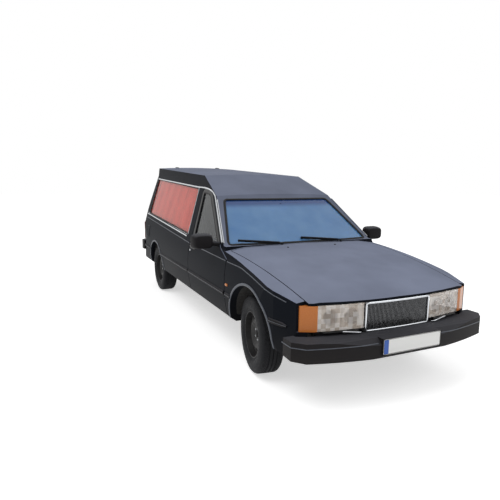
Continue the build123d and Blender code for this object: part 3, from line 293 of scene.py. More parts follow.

# %% [markdown]
# ### Plastics, metals, rubber and cloth
# Bumpers and mirrors are moulded polypropylene with a leather grain of about 1.5 mm, dull and a little grey from dust
# and a painted sheen on what faces up. Trim and grille are plastic and steel with a chrome plate, which is a mirror
# dulled by a fine haze. Chassis parts are cast or rolled steel under a thin coat of road dirt. Each line gives two
# tones, grain, relief, roughness.

# %% The plain finishes
bumper_plastic = finish("grained_polypropylene", ("#151416", "#1e1c1e"), 0.0015, 0.00025, (0.5, 0.62),
                        Specular_IOR_Level=0.10)
# Grey on the tops of bumpers, mirrors and rub strips: dust and a painted sheen.
add_dust_dirt_and_painted_sheen(bumper_plastic, "#55565c", (0.30, 0.55))
chrome = finish("chrome_plate", ("#b9bcc0", "#c9ccd0"), 0.03, 0.0, (0.10, 0.20), Metallic=1.0)
reflector = finish("vacuum_coated_reflector", ("#e6e2dc", "#fffdf9"), 0.012, 0.0012, (0.12, 0.25), Metallic=0.35)
grille_plate = finish("chrome_plated_grille", ("#5c5d60", "#8f9092"), 0.02, 0.0, (0.18, 0.3), Metallic=0.8)
amber = finish("amber_acrylic", ("#b5602a", "#cf8440"), 0.004, 0.0, (0.12, 0.2), Coat_Weight=0.15,
               Specular_IOR_Level=0.2)
red_lens = finish("red_acrylic", ("#6e0f10", "#921517"), 0.004, 0.0, (0.12, 0.2), Coat_Weight=0.6)
cabin_plastic = finish("grained_cabin_vinyl", ("#1c1c1e", "#252527"), 0.0012, 0.0002, (0.5, 0.65))
underseal = finish("underseal_wax", ("#151413", "#26231f"), 0.02, 0.0008, (0.6, 0.85))
chassis_steel = finish("rolled_steel_in_road_dirt", ("#1e1c1a", "#3a342d"), 0.05, 0.0005, (0.6, 0.85), Metallic=0.3)
cast_iron = finish("cast_iron", ("#3a3937", "#4c4a47"), 0.004, 0.0006, (0.55, 0.75), Metallic=0.5)
exhaust_steel = finish("weathered_exhaust_steel", ("#4a4039", "#6d6358"), 0.03, 0.0003, (0.4, 0.6), Metallic=0.8)
wiper_black = finish("satin_black_steel", ("#0a0a0b", "#111112"), 0.003, 0.00003, (0.35, 0.45),
                     Specular_IOR_Level=0.3)
rubber_seal = finish("extruded_rubber", ("#0a0a0b", "#121213"), 0.004, 0.00005, (0.5, 0.65), Specular_IOR_Level=0.25)
tyre_rubber = finish("tyre_rubber", ("#101114", "#1a1b1e"), 0.012, 0.0001, (0.6, 0.8), Specular_IOR_Level=0.2)
rim_paint = finish("dull_steel_wheel_enamel", ("#141416", "#232221"), 0.02, 0.0002, (0.42, 0.6),
                   Specular_IOR_Level=0.35)
bolt_zinc = finish("zinc_plated_steel", ("#8d8f92", "#a6a8ab"), 0.004, 0.0001, (0.25, 0.4), Metallic=1.0)
silvered_glass = finish("silvered_mirror_glass", ("#c4cad0", "#cfd4da"), 0.2, 0.0, (0.02, 0.05), Metallic=1.0)
# A pale grey enamel used as a painted highlight: on arch lips, shoulder lines, the rub strips' top lines and the
# bumper's edge line.
painted_highlight_enamel = finish("enamel_painted_highlight", ("#3b3e45", "#5d626b"), 0.02, 0.0001, (0.35, 0.5),
                  Specular_IOR_Level=0.3)
seat_cloth = finish("woven_seat_cloth", ("#3a3f47", "#4c525c"), 0.0025, 0.0006, (0.8, 0.95))
webbing = finish("polyester_webbing", ("#8f9194", "#a5a7aa"), 0.003, 0.0002, (0.6, 0.75))
voile = finish("polyester_voile", ("#e6d6cd", "#f0e4dc"), 0.004, 0.0001, (0.8, 0.9))
plate_white = finish("plate_reflective_sheet", ("#e4e5e3", "#efefed"), 0.002, 0.0, (0.3, 0.4))
plate_blue = finish("plate_blue_sheet", ("#1f4fa3", "#2659b0"), 0.002, 0.0, (0.3, 0.4))
deck_wood = finish("varnished_oak_deck", ("#6d4526", "#8a5c34"), 0.01, 0.0001, (0.25, 0.4), Coat_Weight=0.4)

# %% [markdown]
# ### Glass
# The windscreen is laminated glass with a blue tint and a darker band along its top edge. Half of its light
# comes through, so that the cabin shows faintly, and half is the tint's own. The load windows carry a salmon film
# that hides the load bay and lets only shapes through. Door windows are lightly smoked.

# %% Glazing
screen_glass = finish("tinted_laminated_glass", ("#4786c4", "#86b3de"), 0.3, 0.0, (0.02, 0.05),
                      Transmission_Weight=0.5, IOR=1.5, Specular_IOR_Level=0.4)
tree, socket, base = tone_of(screen_glass)
band = remap(tree, upward_part(tree), 1.27, 1.32, interpolation_type="SMOOTHSTEP")
tree.links.new(mix(tree, band, base, linear("#3f63a2")), socket)
smoked_glass = finish("smoked_door_glass", ("#8f9597", "#9da2a4"), 0.4, 0.0, (0.02, 0.05), Transmission_Weight=0.96,
                      IOR=1.24)
film_glass = finish("salmon_window_film", ("#e66a59", "#f29a8b"), 0.35, 0.0, (0.03, 0.08), Transmission_Weight=0.8,
                    IOR=1.2)
lamp_glass = finish("fluted_lamp_glass", ("#f6ede5", "#ffffff"), 0.03, 0.0, (0.02, 0.08), Transmission_Weight=0.66,
                    IOR=1.47)

# %% [markdown]
# Lamp glass is pressed with upright flutes about 9 mm apart that spread the beam. They are a wave across the car,
# added to the lens as a bump over the one it has, so the lens breaks up what lies behind it. The lens is also parted
# into square blocks of about 34 mm, each with a colour between a dull tone and the bright one: painted glints.

# %% Flutes and painted glints of the lamp glass
FLUTE, PRISM = 0.009, 0.034
tree, socket, clear = tone_of(lamp_glass)
place = tree.nodes["Texture Coordinate"].outputs["Object"]
flute = add_node(tree, "TexWave", {"Vector": place, "Scale": 0.314 / FLUTE, "Distortion": 0.6, "Detail": 1.0},
                 bands_direction="Y")
flutes = add_node(tree, "Bump", {"Height": flute.outputs["Fac"], "Distance": 0.003, "Strength": 0.9,
                                 "Normal": tree.nodes["Bump"].outputs["Normal"]})
tree.links.new(flutes.outputs["Normal"], tree.nodes["Principled BSDF"].inputs["Normal"])
# Painted glints: each 34 mm block takes a colour between a dull tone and the lens's bright one.
glint_blocks = add_node(tree, "TexVoronoi", {"Vector": place, "Scale": 1 / PRISM, "Randomness": 0.0}, distance="CHEBYCHEV")
painted_glint = remap(tree, glint_blocks.outputs["Color"], 0.25, 0.65)
tree.links.new(mix(tree, painted_glint, linear("#d6cabf"), clear), socket)

# %% [markdown]
# The tail lamp is one moulding in bands: red over amber over clear over red again. Which colour a point has follows
# its height, with hard steps between them.

# %% Bands of the tail lamp
tree, socket, _ = tone_of(red_lens)
bands = add_node(tree, "ValToRGB", {"Fac": remap(tree, upward_part(tree), 0.650, 0.900)})
bands.color_ramp.interpolation = "CONSTANT"
for place, code in [(0.0, "#8a1214"), (0.36, "#d6d2cb"), (0.52, "#c8752c"), (0.72, "#8a1214")]:
    stop = bands.color_ramp.elements.new(place) if place else bands.color_ramp.elements[0]
    stop.color = linear(code)
bands.color_ramp.elements[-1].color = linear("#8a1214")
tree.links.new(bands.outputs["Color"], socket)

# %% [markdown]
# ### Handing the finishes to the CAD pieces
# The record says which slot each CAD piece takes its finish from, so one table from slot to material dresses all of
# them. Door windows share a slot with the windscreen but are less blue, so they are set by name.

# %% Dress the CAD pieces
SLOT_FINISH = {
    "paint": paint, "bumper_plastic": bumper_plastic, "bright_trim": chrome, "lamp_body": reflector,
    "lamp_glass": lamp_glass, "amber_lens": amber, "red_lens": red_lens, "screen_glass": screen_glass,
    "film_glass": film_glass, "upholstery": cabin_plastic, "cabin_plastic": cabin_plastic, "deck_wood": deck_wood,
    "underbody": underseal, "chassis_steel": chassis_steel, "cast_block": cast_iron, "exhaust_steel": exhaust_steel,
    "wiper_black": wiper_black, "tyre_rubber": tyre_rubber, "rim_paint": rim_paint,
}


def dress(node, material):
    """Put a material in every material slot of a CAD piece."""
    for place in frame["nodes"][node].material_slots:
        place.material = material


for part in frame["record"]["subparts"]:
    dress(part["node"], SLOT_FINISH[part["material_slot"]])
for side in SIDES:
    dress(f"door_glass_{side}", smoked_glass)
dress("grille", grille_plate)

# %% [markdown]
# ## More shapes that repeat
# Lamps, buttons, nuts and plates are all low forms on a flat foot with a rounded edge, so one function makes them
# from two directions. Seals are loops, so a corner has to be rounded before a profile can be carried round it.

# %% Helpers for buttons, loops and joined forms


def button(centre, normal, along, half, height, square=1.0, flat=0.7, sunk=0.002, count=32, steps=5):
    """A low form on a flat foot. Its outline is cos and sin, each raised to `square`, so 1 is an oval and 0.2 nearly
    a rectangle. From `flat` of its half widths outward it falls to the foot in a quarter circle."""
    normal, along = unit(normal), unit(along)
    across = np.cross(normal, along)
    turn = 2 * pi * np.arange(count) / count
    wave = np.stack([np.cos(turn), np.sin(turn)], axis=1)
    outline = np.sign(wave) * np.abs(wave) ** square * half
    fall = np.linspace(0, pi / 2, steps)
    scale = np.concatenate([[1.0], flat + (1 - flat) * np.cos(fall)])
    level = np.concatenate([[-sunk], height * np.sin(fall)])
    flat_points = scale[:, None, None] * outline[None]
    points = np.asarray(centre) + flat_points[..., :1] * along + flat_points[..., 1:] * across
    points = points + level[:, None, None] * normal
    return points, grid_faces(len(scale), count, wrap=True, caps=True)


def join(forms):
    """Put several forms into one: their points follow each other, and each form's faces count on from there."""
    starts = np.cumsum([0] + [np.asarray(points).reshape(-1, 3).shape[0] for points, _ in forms])
    points = np.concatenate([np.asarray(points, float).reshape(-1, 3) for points, _ in forms])
    shifted = [[index + int(start) for index in face] for start, form in zip(starts, forms) for face in form[1]]
    return points, shifted


def rounded(corners, radius, count=6):
    """A closed outline with its corners rounded: each corner becomes the curve that leaves one side and meets the
    next at the same distance, weighted (1-t)^2, 2t(1-t) and t^2."""
    corners = np.asarray(corners, float)
    before = corners + radius * unit(np.roll(corners, 1, axis=0) - corners)
    after = corners + radius * unit(np.roll(corners, -1, axis=0) - corners)
    t = np.linspace(0, 1, count)[None, :, None]
    curve = (1 - t) ** 2 * before[:, None] + 2 * t * (1 - t) * corners[:, None] + t**2 * after[:, None]
    outline = curve.reshape(-1, corners.shape[1])
    return spread(np.vstack([outline, outline[:1]]), 0.02)[:-1]


# %% The bonnet's surface
bonnet_centre, bonnet_radius = circle_through(np.array([(2.393, 0.743), (1.7245, 0.887), (1.056, 0.961)]))


def on_bonnet(x, y):
    """Points of the bonnet: an arc along its middle, less the fall of its crown to each side."""
    middle = bonnet_centre[1] + np.sqrt(bonnet_radius**2 - (x - bonnet_centre[0]) ** 2)
    fall = np.interp(np.abs(y), [0, 0.640, 0.900], [0, 0.012, 0.050])
    return np.stack([x, y, middle - fall], axis=1)


# %% [markdown]
# ## Bright strips, rub strips and pressed lines
# A bright moulding runs up each windscreen pillar, over the door and along the top of the load window. A pair of
# thin ones follows the belt line, a black rubber strip guards each flank, and a pressed line runs along the shoulder.
# The pressed line and a thin line along the top of each rub strip are pale grey, a painted highlight.
# Each is a small profile carried along a line on the skin. Those that cross a door are cut there and ride on it.

# %% Strips along the flanks


def side_strips(name, line, width, height, finish_of, body, narrow=None):
    """The same strip on both sides: a crowned profile along an (x, z) line of the skin, narrowed by `narrow`, pairs
    of a station x and a share of the width."""
    for side, sign in SIDES.items():
        path, outward = on_skin(spread(line, 0.04), sign)
        taper = None if narrow is None else np.interp(path[:, 0], *np.array(narrow).T)
        form = sweep(path, crowned(width, height), outward, taper=taper)
        make_piece(f"{name}_{side}", form, finish_of, body.format(side=side))


GUTTER_LINE = [(0.951, 0.980), (0.455, 1.353), (0.400, 1.391), (0.300, 1.430), (0.160, 1.455), (0.0, 1.467),
               (-0.265, 1.471), (-2.225, 1.553)]
side_strips("gutter_moulding", GUTTER_LINE, 0.028, 0.007, chrome, "root",
            narrow=[(-2.3, 0.55), (0.36, 0.55), (0.48, 0.85), (0.96, 1.0)])
side_strips("pillar_bead", [(0.990, 0.982), (0.492, 1.356)], 0.010, 0.004, chrome, "root")
side_strips("belt_moulding", [(-0.110, 0.926), (-2.245, 1.027)], 0.014, 0.005, chrome, "root")
side_strips("belt_bead", [(-0.110, 0.944), (-2.245, 1.045)], 0.005, 0.003, chrome, "root")
side_strips("post_moulding", [(-0.085, 0.948), (-0.176, 1.462)], 0.010, 0.004, chrome, "root")
side_strips("door_belt_seal", [(0.872, 0.958), (0.128, 0.958)], 0.014, 0.004, rubber_seal,
            "side_door_{side}")
x = np.linspace(1.172, 2.180, 20)
wing_edge = np.minimum(0.848, on_bonnet(x, skin_y(x, 0.8))[:, 2] - 0.030)
# The shoulder lines are pale grey: a painted highlight along the pressed line.
for name, line, body in [
    ("quarter", [(0.040, 0.868), (-2.240, 0.975)], "root"),
    ("door", [(1.135, 0.850), (0.072, 0.866)], "side_door_{side}"), ("wing", np.stack([x, wing_edge], axis=1), "root"),
]:
    side_strips(f"shoulder_line_{name}", line, 0.008, 0.003, painted_highlight_enamel, body)
# On each rub strip a thin pale grey line stands proud along its top: a painted highlight.
for name, line, body in [
    ("front", [(2.190, 0.558), (2.000, 0.558)], "root"), ("wing", [(1.290, 0.558), (1.174, 0.558)], "root"),
    ("door", [(1.136, 0.558), (0.070, 0.558)], "side_door_{side}"),
    ("quarter", [(0.040, 0.558), (-1.195, 0.558)], "root"), ("tail", [(-1.790, 0.558), (-2.195, 0.558)], "root"),
]:
    side_strips(f"rub_strip_{name}", line, 0.036, 0.012, bumper_plastic, body,
                narrow=[(2.000, 1.0), (2.150, 1.0), (2.190, 0.35)])
    side_strips(f"rub_insert_{name}", spread(line, 9.0), 0.006, 0.0145, painted_highlight_enamel, body)

# %% [markdown]
# ## Wheel arch lips
# The edge of each arch is rolled outward, which stiffens it. Its pale arc, where it would catch the light, is a
# painted highlight in its finish. The same crowned profile follows half a circle on the skin.

# %% Arch lips
# Arch lips in pale grey: a painted highlight.
for name, axle, radius in [("front", FRONT_AXLE, 0.405), ("rear", REAR_AXLE, 0.368)]:
    turn, reach = np.linspace(radians(5), radians(175), 41), radius + 0.012
    arc = np.stack([axle + reach * np.cos(turn), WHEEL_RADIUS + reach * np.sin(turn)], axis=1)
    for side, sign in SIDES.items():
        path, outward = on_skin(arc, sign)
        form = sweep(path, crowned(0.022, 0.006), outward)
        make_piece(f"arch_lip_{name}_{side}", form, painted_highlight_enamel)
print("strips, beads and lips are on")

# %% [markdown]
# ## Rubber seals round the glass
# Each pane sits in an extruded rubber seal, a black border about as wide as a finger. It is a loop: the pane's
# outline with rounded corners, laid on the surface that the pane is part of.

# %% The surfaces of windscreen, tail and bonnet
SCREEN_SLOPE = 1.3671


def on_screen(y, z):
    """Points of the windscreen, an arc in plan carried up its slope, and the outward direction there."""
    x = 1.056 - 0.045 * (y / 0.775) ** 2 - SCREEN_SLOPE * (z - 0.961)
    outward = np.stack([np.ones_like(y), 0.09 * y / 0.775**2, np.full_like(y, SCREEN_SLOPE)], axis=1)
    return np.stack([x, y, z], axis=1), unit(outward)


def on_tail(y, z):
    """Points of the tail: the further forward of its bow in plan and its slope in side view."""
    bow = -2.365 + 0.040 * (y / 0.78) ** 2
    lean = np.interp(z, [0.620, 1.000, 1.794], [-2.365, -2.345, -2.285])
    outward = np.stack([-np.ones_like(y), 0.06 * y, np.full_like(y, 0.06)], axis=1)
    return np.stack([np.maximum(bow, lean), y, z], axis=1), unit(outward)


# %% Seals
def seal(name, path, outward, width, body):
    """A rubber seal: a low crowned profile carried round a loop."""
    form = sweep(path, crowned(width, 0.004), outward, loop=True)
    make_piece(name, form, rubber_seal, body)


outline = rounded([(-0.773, 0.968), (-0.612, 1.359), (0.612, 1.359), (0.773, 0.968)], 0.032)
seal("windscreen_seal", *on_screen(*outline.T), 0.024, "root")
outline = rounded([(-0.655, 1.000), (-0.500, 1.630), (0.500, 1.630), (0.655, 1.000)], 0.026)
seal("tailgate_seal", *on_tail(*outline.T), 0.022, "rear_door")
DOOR_WINDOW = [(0.847, 0.965), (0.256, 1.397), (0.038, 1.420), (0.140, 0.965)]
LOAD_WINDOW = [(-0.092, 0.952), (-0.182, 1.455), (-2.195, 1.547), (-2.135, 1.042)]
DOOR_FRAME = [(0.885, 0.958), (0.262, 1.418), (0.010, 1.438), (0.112, 0.958)]
for side, sign in SIDES.items():
    seal(f"door_window_seal_{side}", *on_skin(rounded(DOOR_WINDOW, 0.03), sign), 0.016, f"side_door_{side}")
    path, outward = on_skin(rounded(DOOR_FRAME, 0.04), sign)
    form = sweep(path, crowned(0.044, 0.0025), outward, loop=True)
    make_piece(f"door_window_frame_{side}", form, wiper_black, f"side_door_{side}")
    seal(f"load_window_seal_{side}", *on_skin(rounded(LOAD_WINDOW, 0.024), sign), 0.018, "root")

# %% [markdown]
# ## Small fittings on the flanks
# Each door has a black pull handle with a lock behind it, and a mirror: a moulded shell with rounded shoulders on a
# short foot, with its glass set in the back. A small amber repeater sits on the wing, and the fuel flap is on the
# right rear flank.

# %% Handles, locks, mirrors, repeaters and fuel flap
MIRROR_Y, MIRROR_Z = 0.980, 0.994
mirror_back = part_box("mirror_right")[0].x
for side, sign in SIDES.items():
    place, outward = on_skin([(0.185, 0.846)], sign)
    form = button(place[0], outward[0], (1, 0, 0), (0.082, 0.024), 0.002, square=0.4, flat=0.9)
    make_piece(f"handle_plate_{side}", form, wiper_black, f"side_door_{side}")
    along = np.linspace(0, 1, 17)
    path, outward = on_skin(np.stack([0.252 - 0.134 * along, np.full(17, 0.848)], axis=1), sign)
    path = path + outward * (0.021 * np.sin(pi * along) ** 0.35)[:, None]
    turn = 2 * pi * np.arange(14) / 14
    grip = np.stack([0.010 * np.cos(turn), 0.005 * np.sin(turn)], axis=1)
    form = sweep(path, grip, outward)
    make_piece(f"handle_grip_{side}", form, wiper_black, f"side_door_{side}")
    lock, outward = on_skin([(0.108, 0.800)], sign)
    form = button(lock[0], outward[0], (1, 0, 0), (0.011, 0.011), 0.004, flat=0.6)
    make_piece(f"door_lock_{side}", form, chrome, f"side_door_{side}")
    shell = button((mirror_back, sign * MIRROR_Y, MIRROR_Z), (1, 0, 0), (0, 1, 0), (0.1015, 0.071), 0.098, square=0.5,
                   flat=0.72, sunk=0.0, count=64, steps=13)
    turn = 2 * pi * np.arange(24) / 24
    round_bar = np.stack([0.028 * np.cos(turn), 0.023 * np.sin(turn)], axis=1)
    foot = sweep(spread([(mirror_back + 0.045, sign * 0.808, 0.962), (mirror_back + 0.045, sign * 0.930, 0.975)], 0.02),
                 round_bar, (0, 0, 1), taper=np.linspace(1.25, 0.9, 7))
    housing = make_piece(f"mirror_shell_{side}", join([shell, foot]), bumper_plastic,
                         f"side_door_{side}")
    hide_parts(f"mirror_{side}")
    form = button((mirror_back, sign * MIRROR_Y, MIRROR_Z), (-1, 0, 0), (0, 1, 0), (0.090, 0.060), 0.002,
                  square=0.45, flat=0.95)
    make_piece(f"mirror_glass_{side}", form, silvered_glass, f"side_door_{side}")
    lamp, outward = on_skin([(1.205, 0.648)], sign)
    form = button(lamp[0], outward[0], (1, 0, 0), (0.026, 0.012), 0.009, square=0.5, flat=0.5)
    make_piece(f"side_repeater_{side}", form, amber)
flap, outward = on_skin([(-1.960, 0.790)], -1)
form = button(flap[0], outward[0], (1, 0, 0), (0.078, 0.078), 0.0015, square=0.3, flat=0.96)
make_piece("fuel_flap", form, paint)
border = rounded([(-2.040, 0.710), (-1.880, 0.710), (-1.880, 0.870), (-2.040, 0.870)], 0.025)
seal("fuel_flap_seam", *on_skin(border, -1), 0.004, "root")
print("fittings on both flanks")

# %% [markdown]
# ## The front
# The number plate is a pressed sheet with a dark rim line and a blue band at one end, left blank. Each headlamp has
# a bulb cap in each bowl and a small wiper under its lens. A bright bezel frames the grille, and a pale line, a
# painted highlight, runs along the bumper's front edge.

# %% Plates
def number_plate(name, x, z, way, body):
    """A blank pressed plate facing forward or back: its sheet, its rim line and its blue band."""
    forms = button((x, 0, z), (way, 0, 0), (0, 1, 0), (0.260, 0.055), 0.0016, square=0.12, flat=0.99, sunk=0.0)
    make_piece(name, forms, plate_white, body)
    band = button((x, -way * 0.236, z), (way, 0, 0), (0, 1, 0), (0.020, 0.051), 0.0019, square=0.12, flat=0.99, sunk=0)
    make_piece(f"{name}_band", band, plate_blue, body)
    corners = [(-0.256, z - 0.051), (-0.256, z + 0.051), (0.256, z + 0.051), (0.256, z - 0.051)]
    rim = rounded(corners, 0.008)
    path = np.stack([np.full(len(rim), x + way * 0.0014), rim[:, 0], rim[:, 1]], axis=1)
    form = sweep(path, crowned(0.003, 0.0006, sunk=0.0004), (way, 0, 0), loop=True)
    make_piece(f"{name}_rim", form, wiper_black, body)


number_plate("front_plate", 2.5473, 0.445, 1, "root")

# %% Lamps' bulbs and wipers, and the bumper's edge


def nose_x(y):
    """How far forward the bowed nose stands at a distance y from the middle."""
    return 2.393 - 0.068 / 0.690**2 * np.asarray(y) ** 2


low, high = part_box("grille")
border = rounded([(-0.289, low.z + 0.007), (-0.289, high.z - 0.007), (0.289, high.z - 0.007), (0.289, low.z + 0.007)],
                 0.006)
path = np.stack([nose_x(border[:, 0]) - nose_x(0) + high.x, border[:, 0], border[:, 1]], axis=1)
bezel = sweep(path, crowned(0.016, 0.005, sunk=0.003), (1, 0, 0), loop=True)
make_piece("grille_bezel", bezel, chrome)
for side, sign in SIDES.items():
    bulbs = [button((float(nose_x(y)) - 0.088, sign * y, 0.631), (1, 0, 0), (0, 1, 0), (0.015, 0.015), 0.034, flat=0.5)
             for y in (0.399, 0.560)]
    make_piece(f"bulb_caps_{side}", join(bulbs), chrome)
    y = np.linspace(0.350, 0.620, 10)
    path = np.stack([nose_x(y) + 0.008, sign * y, np.full(10, 0.532)], axis=1)
    form = sweep(path, crowned(0.010, 0.007, sunk=0.006), (1, 0, 0))
    make_piece(f"lamp_wiper_blade_{side}", form, wiper_black)
    arm = spread([(2.372, 0.330 * sign, 0.512), (2.392, 0.345 * sign, 0.520), (2.366, 0.480 * sign, 0.534)], 0.02)
    form = sweep(arm + (0.012, 0, 0), crowned(0.009, 0.006, sunk=0.003), (1, 0, 0.2))
    make_piece(f"lamp_wiper_arm_{side}", form, chrome)
    # The pale line along the bumper's front edge is a painted highlight.
    y = np.linspace(0.285, 0.800, 20)
    bow = np.stack([np.minimum(2.550 - 0.112 * (y / 0.8) ** 2, 2.5236), sign * y, np.full(20, 0.470)], axis=1)
    wrap = np.array([(2.360, sign * 0.876, 0.470), (2.235, sign * 0.876, 0.470)])
    path = spread(np.vstack([bow, wrap]), 0.02)
    along = np.gradient(path, axis=0)
    outward = unit(np.stack([np.abs(along[:, 1]), sign * np.abs(along[:, 0]), np.zeros(len(path))], axis=1))
    form = sweep(path, crowned(0.007, 0.003), outward)
    make_piece(f"bumper_painted_highlight_line_{side}", form, painted_highlight_enamel)
for name, foot, tip in [("right", -0.250, -0.640), ("left", 0.420, 0.030)]:
    t = np.linspace(-0.28, 1.10, 24)
    y = foot + t * (tip - foot)
    path = np.stack([1.070 - 0.062 * t, y, 0.972 + 0.030 * t], axis=1) + (0.004, 0, 0.001)
    form = sweep(path[6:], crowned(0.014, 0.012, sunk=0.010), (1.0, 0, SCREEN_SLOPE))
    make_piece(f"wiper_blade_{name}", form, rubber_seal)
jets = [button(on_bonnet(np.array([1.200]), np.array([y]))[0], (0.2, 0, 1), (1, 0, 0), (0.012, 0.009), 0.007, flat=0.5)
        for y in (-0.26, 0.26)]
make_piece("washer_jets", join(jets), wiper_black, "bonnet_lid")
print("front fittings are on")

# %% [markdown]
# ## The back
# The tailgate has a bright grip over a blank plate, two plate lamps, and a wiper on its glass.

# %% Grip, plate and lamps of the tailgate
number_plate("rear_plate", -2.3760, 0.775, -1, "rear_door")
carrier = button((-2.362, 0, 0.775), (-1, 0, 0), (0, 1, 0), (0.272, 0.067), 0.0138, square=0.15, flat=0.97)
make_piece("rear_plate_carrier", carrier, bumper_plastic, "rear_door")
y = np.linspace(-0.150, 0.150, 15)
grip, outward = on_tail(y, np.full(15, 0.872))
form = sweep(grip, crowned(0.028, 0.016, sunk=0.006), outward)
make_piece("tailgate_grip", form, chrome, "rear_door")
lamps = [button((-2.364, y, 0.852), (-1, 0, 0), (0, 1, 0), (0.022, 0.008), 0.008, square=0.5, flat=0.6)
         for y in (-0.19, 0.19)]
make_piece("plate_lamps", join(lamps), lamp_glass, "rear_door")
y = np.linspace(-0.020, 0.360, 16)
blade, outward = on_tail(y, 1.030 + 0.05 * (y + 0.02))
form = sweep(blade + outward * 0.010, crowned(0.012, 0.008, sunk=0.006), outward)
make_piece("tail_wiper_blade", form, wiper_black, "rear_door")
arm, outward = on_tail(np.array([0.0, 0.06, 0.12, 0.18]), np.array([0.950, 0.985, 1.015, 1.035]))
form = sweep(arm + outward * 0.016, crowned(0.014, 0.005, sunk=0.004), outward)
make_piece("tail_wiper_arm", form, wiper_black, "rear_door")
pivot = button((-2.340, 0.0, 0.950), (-1, 0, 0), (0, 1, 0), (0.018, 0.018), 0.024, flat=0.6)
make_piece("tail_wiper_pivot", pivot, wiper_black, "rear_door")
print("tailgate fittings are on")

# %% [markdown]
# ## Tyres and wheel fittings
# A tyre is a profile turned about its axle. The tread could be separate blocks, but cutting its depth out of the
# same surface keeps it one piece: three grooves run all the way round, and slanted cuts part the shoulder blocks.
# The wheels are plain black steel, held by five plated nuts round a small cap.

# %% Tyre profile and tread
SIDEWALL = [(0.190, 0.0790), (0.196, 0.0850), (0.2015, 0.0870), (0.204, 0.0855), (0.214, 0.0925), (0.235, 0.0965),
            (0.262, 0.0972), (0.268, 0.0958), (0.285, 0.0930), (0.300, 0.0875), (0.3095, 0.0780), (0.3145, 0.0680)]
CROWN_Y = [0.0600, 0.0520, 0.0440, 0.0362, 0.0345, 0.0265, 0.0250, 0.0170, 0.0090, 0.0048, 0.0035, 0.0]
half_profile = np.array(SIDEWALL + [(WHEEL_RADIUS - 0.0015 * (y / 0.06) ** 2, y) for y in CROWN_Y])
profile = np.vstack([half_profile, half_profile[-2::-1] * (1, -1)])
TURNS, PITCHES = 240, 60


def tread_depth(turn, y):
    """How deep the tread is cut: 7 mm in three grooves round the tyre, and 5 mm in one cut per pitch across each
    shoulder, slanted by the distance from the middle."""
    groove = (np.abs(y) < 0.004) | ((np.abs(y) > 0.026) & (np.abs(y) < 0.035))
    phase = (turn * PITCHES / (2 * pi) + 4 * np.abs(y) / 0.06) % 1
    shoulder = (np.abs(y) > 0.036) & (np.abs(y) < 0.074) & (phase < 0.24)
    return np.where(groove, 0.007, np.where(shoulder, 0.005, 0.0))


def wheel_frame(corner):
    """Where a wheel's hub is and how the wheel stands: the turn that carries +Y to its axle."""
    joint = joints[f"roll_{corner}"]
    place, axle = np.array(joint["pos_m"]), Vector(joint["axis"])
    return place, np.array(Vector((0, 1, 0)).rotation_difference(axle).to_matrix())


# %% Tyres, nuts and caps
turn = 2 * pi * np.arange(TURNS)[:, None] / TURNS
radius = profile[None, :, 0] - tread_depth(turn, profile[None, :, 1])
beside = np.broadcast_to(profile[None, :, 1], radius.shape)
tyre_local = np.stack([radius * np.cos(turn), beside, radius * np.sin(turn)], axis=-1)
hub_face = abs(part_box("rear_axle")[0].y) - HALF_TRACK
for end in ("front", "rear"):
    for side, sign in SIDES.items():
        corner, body = f"{end}_{side}", f"{end}_wheel_{side}"
        hub, turned = wheel_frame(corner)
        form = hub + tyre_local @ turned.T, grid_faces(TURNS, len(profile), wrap=True, loop=True)
        tyre = make_piece(f"treaded_tyre_{corner}", form, tyre_rubber, body, sharp=28)
        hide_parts(f"tyre_{corner}")
        axle, spoke = turned @ (0, sign, 0), turned @ (1, 0, 0)
        other = np.cross(axle, spoke)
        centre = hub + axle * hub_face
        nuts = [button(centre + 0.048 * (cos(a) * spoke + sin(a) * other), axle, spoke, (0.011, 0.011), 0.016, flat=0.6,
                       count=6) for a in 2 * pi * np.arange(5) / 5]
        make_piece(f"wheel_nuts_{corner}", join(nuts), bolt_zinc, body)
        cap = button(centre, axle, spoke, (0.029, 0.029), 0.020, flat=0.75)
        make_piece(f"hub_cap_{corner}", cap, bumper_plastic, body)
print("four tyres of", TURNS * len(profile) * 2, "triangles each")

# %% [markdown]
# ## Seats
# A car seat is foam under cloth: its panels crown between the seams, pull in at the edges, and show sewn channels.
# Each part is its side outline, rounded, carried across the seat. The outline shrinks towards both ends in a quarter
# circle, swells a little in the middle, and dips along the channels.

# %% Padded parts of the front seats
def padded_part(name, outline, middle, half, soft=0.035, swell=0.010, channels=(-0.45, 0.45)):
    """A cushion: rows of its rounded side outline across the seat. Near the ends a row shrinks by a quarter circle of
    radius `soft`; elsewhere it swells by 1 - v^2 and dips in a narrow bell at each channel."""
    outline = rounded(outline, 0.035, count=8)
    centre = outline.mean(axis=0)
    reach = np.linalg.norm(outline - centre, axis=1, keepdims=True)
    v = np.concatenate([-1 + 0.16 * (1 - np.cos(np.linspace(0, pi / 2, 7))), np.linspace(-0.82, 0.82, 83),
                        1 - 0.16 * (1 - np.cos(np.linspace(pi / 2, 0, 7)))])
    edge = np.clip((np.abs(v) * half - (half - soft)) / soft, 0, 1)
    offset = -soft * (1 - np.sqrt(1 - edge**2)) + swell * (1 - v**2)
    offset = offset - 0.007 * sum(np.exp(-(((v - channel) * half / 0.006) ** 2)) for channel in channels)
    rows = outline[None] + (outline - centre)[None] / reach[None] * offset[:, None, None]
    points = np.stack([rows[..., 0], np.broadcast_to((middle + v * half)[:, None], rows.shape[:2]), rows[..., 1]],
                      axis=-1)
    piece = make_piece(name, (points, grid_faces(len(v), len(outline), wrap=True, caps=True)), seat_cloth,
                       sharp=60)
    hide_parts("front_seats")


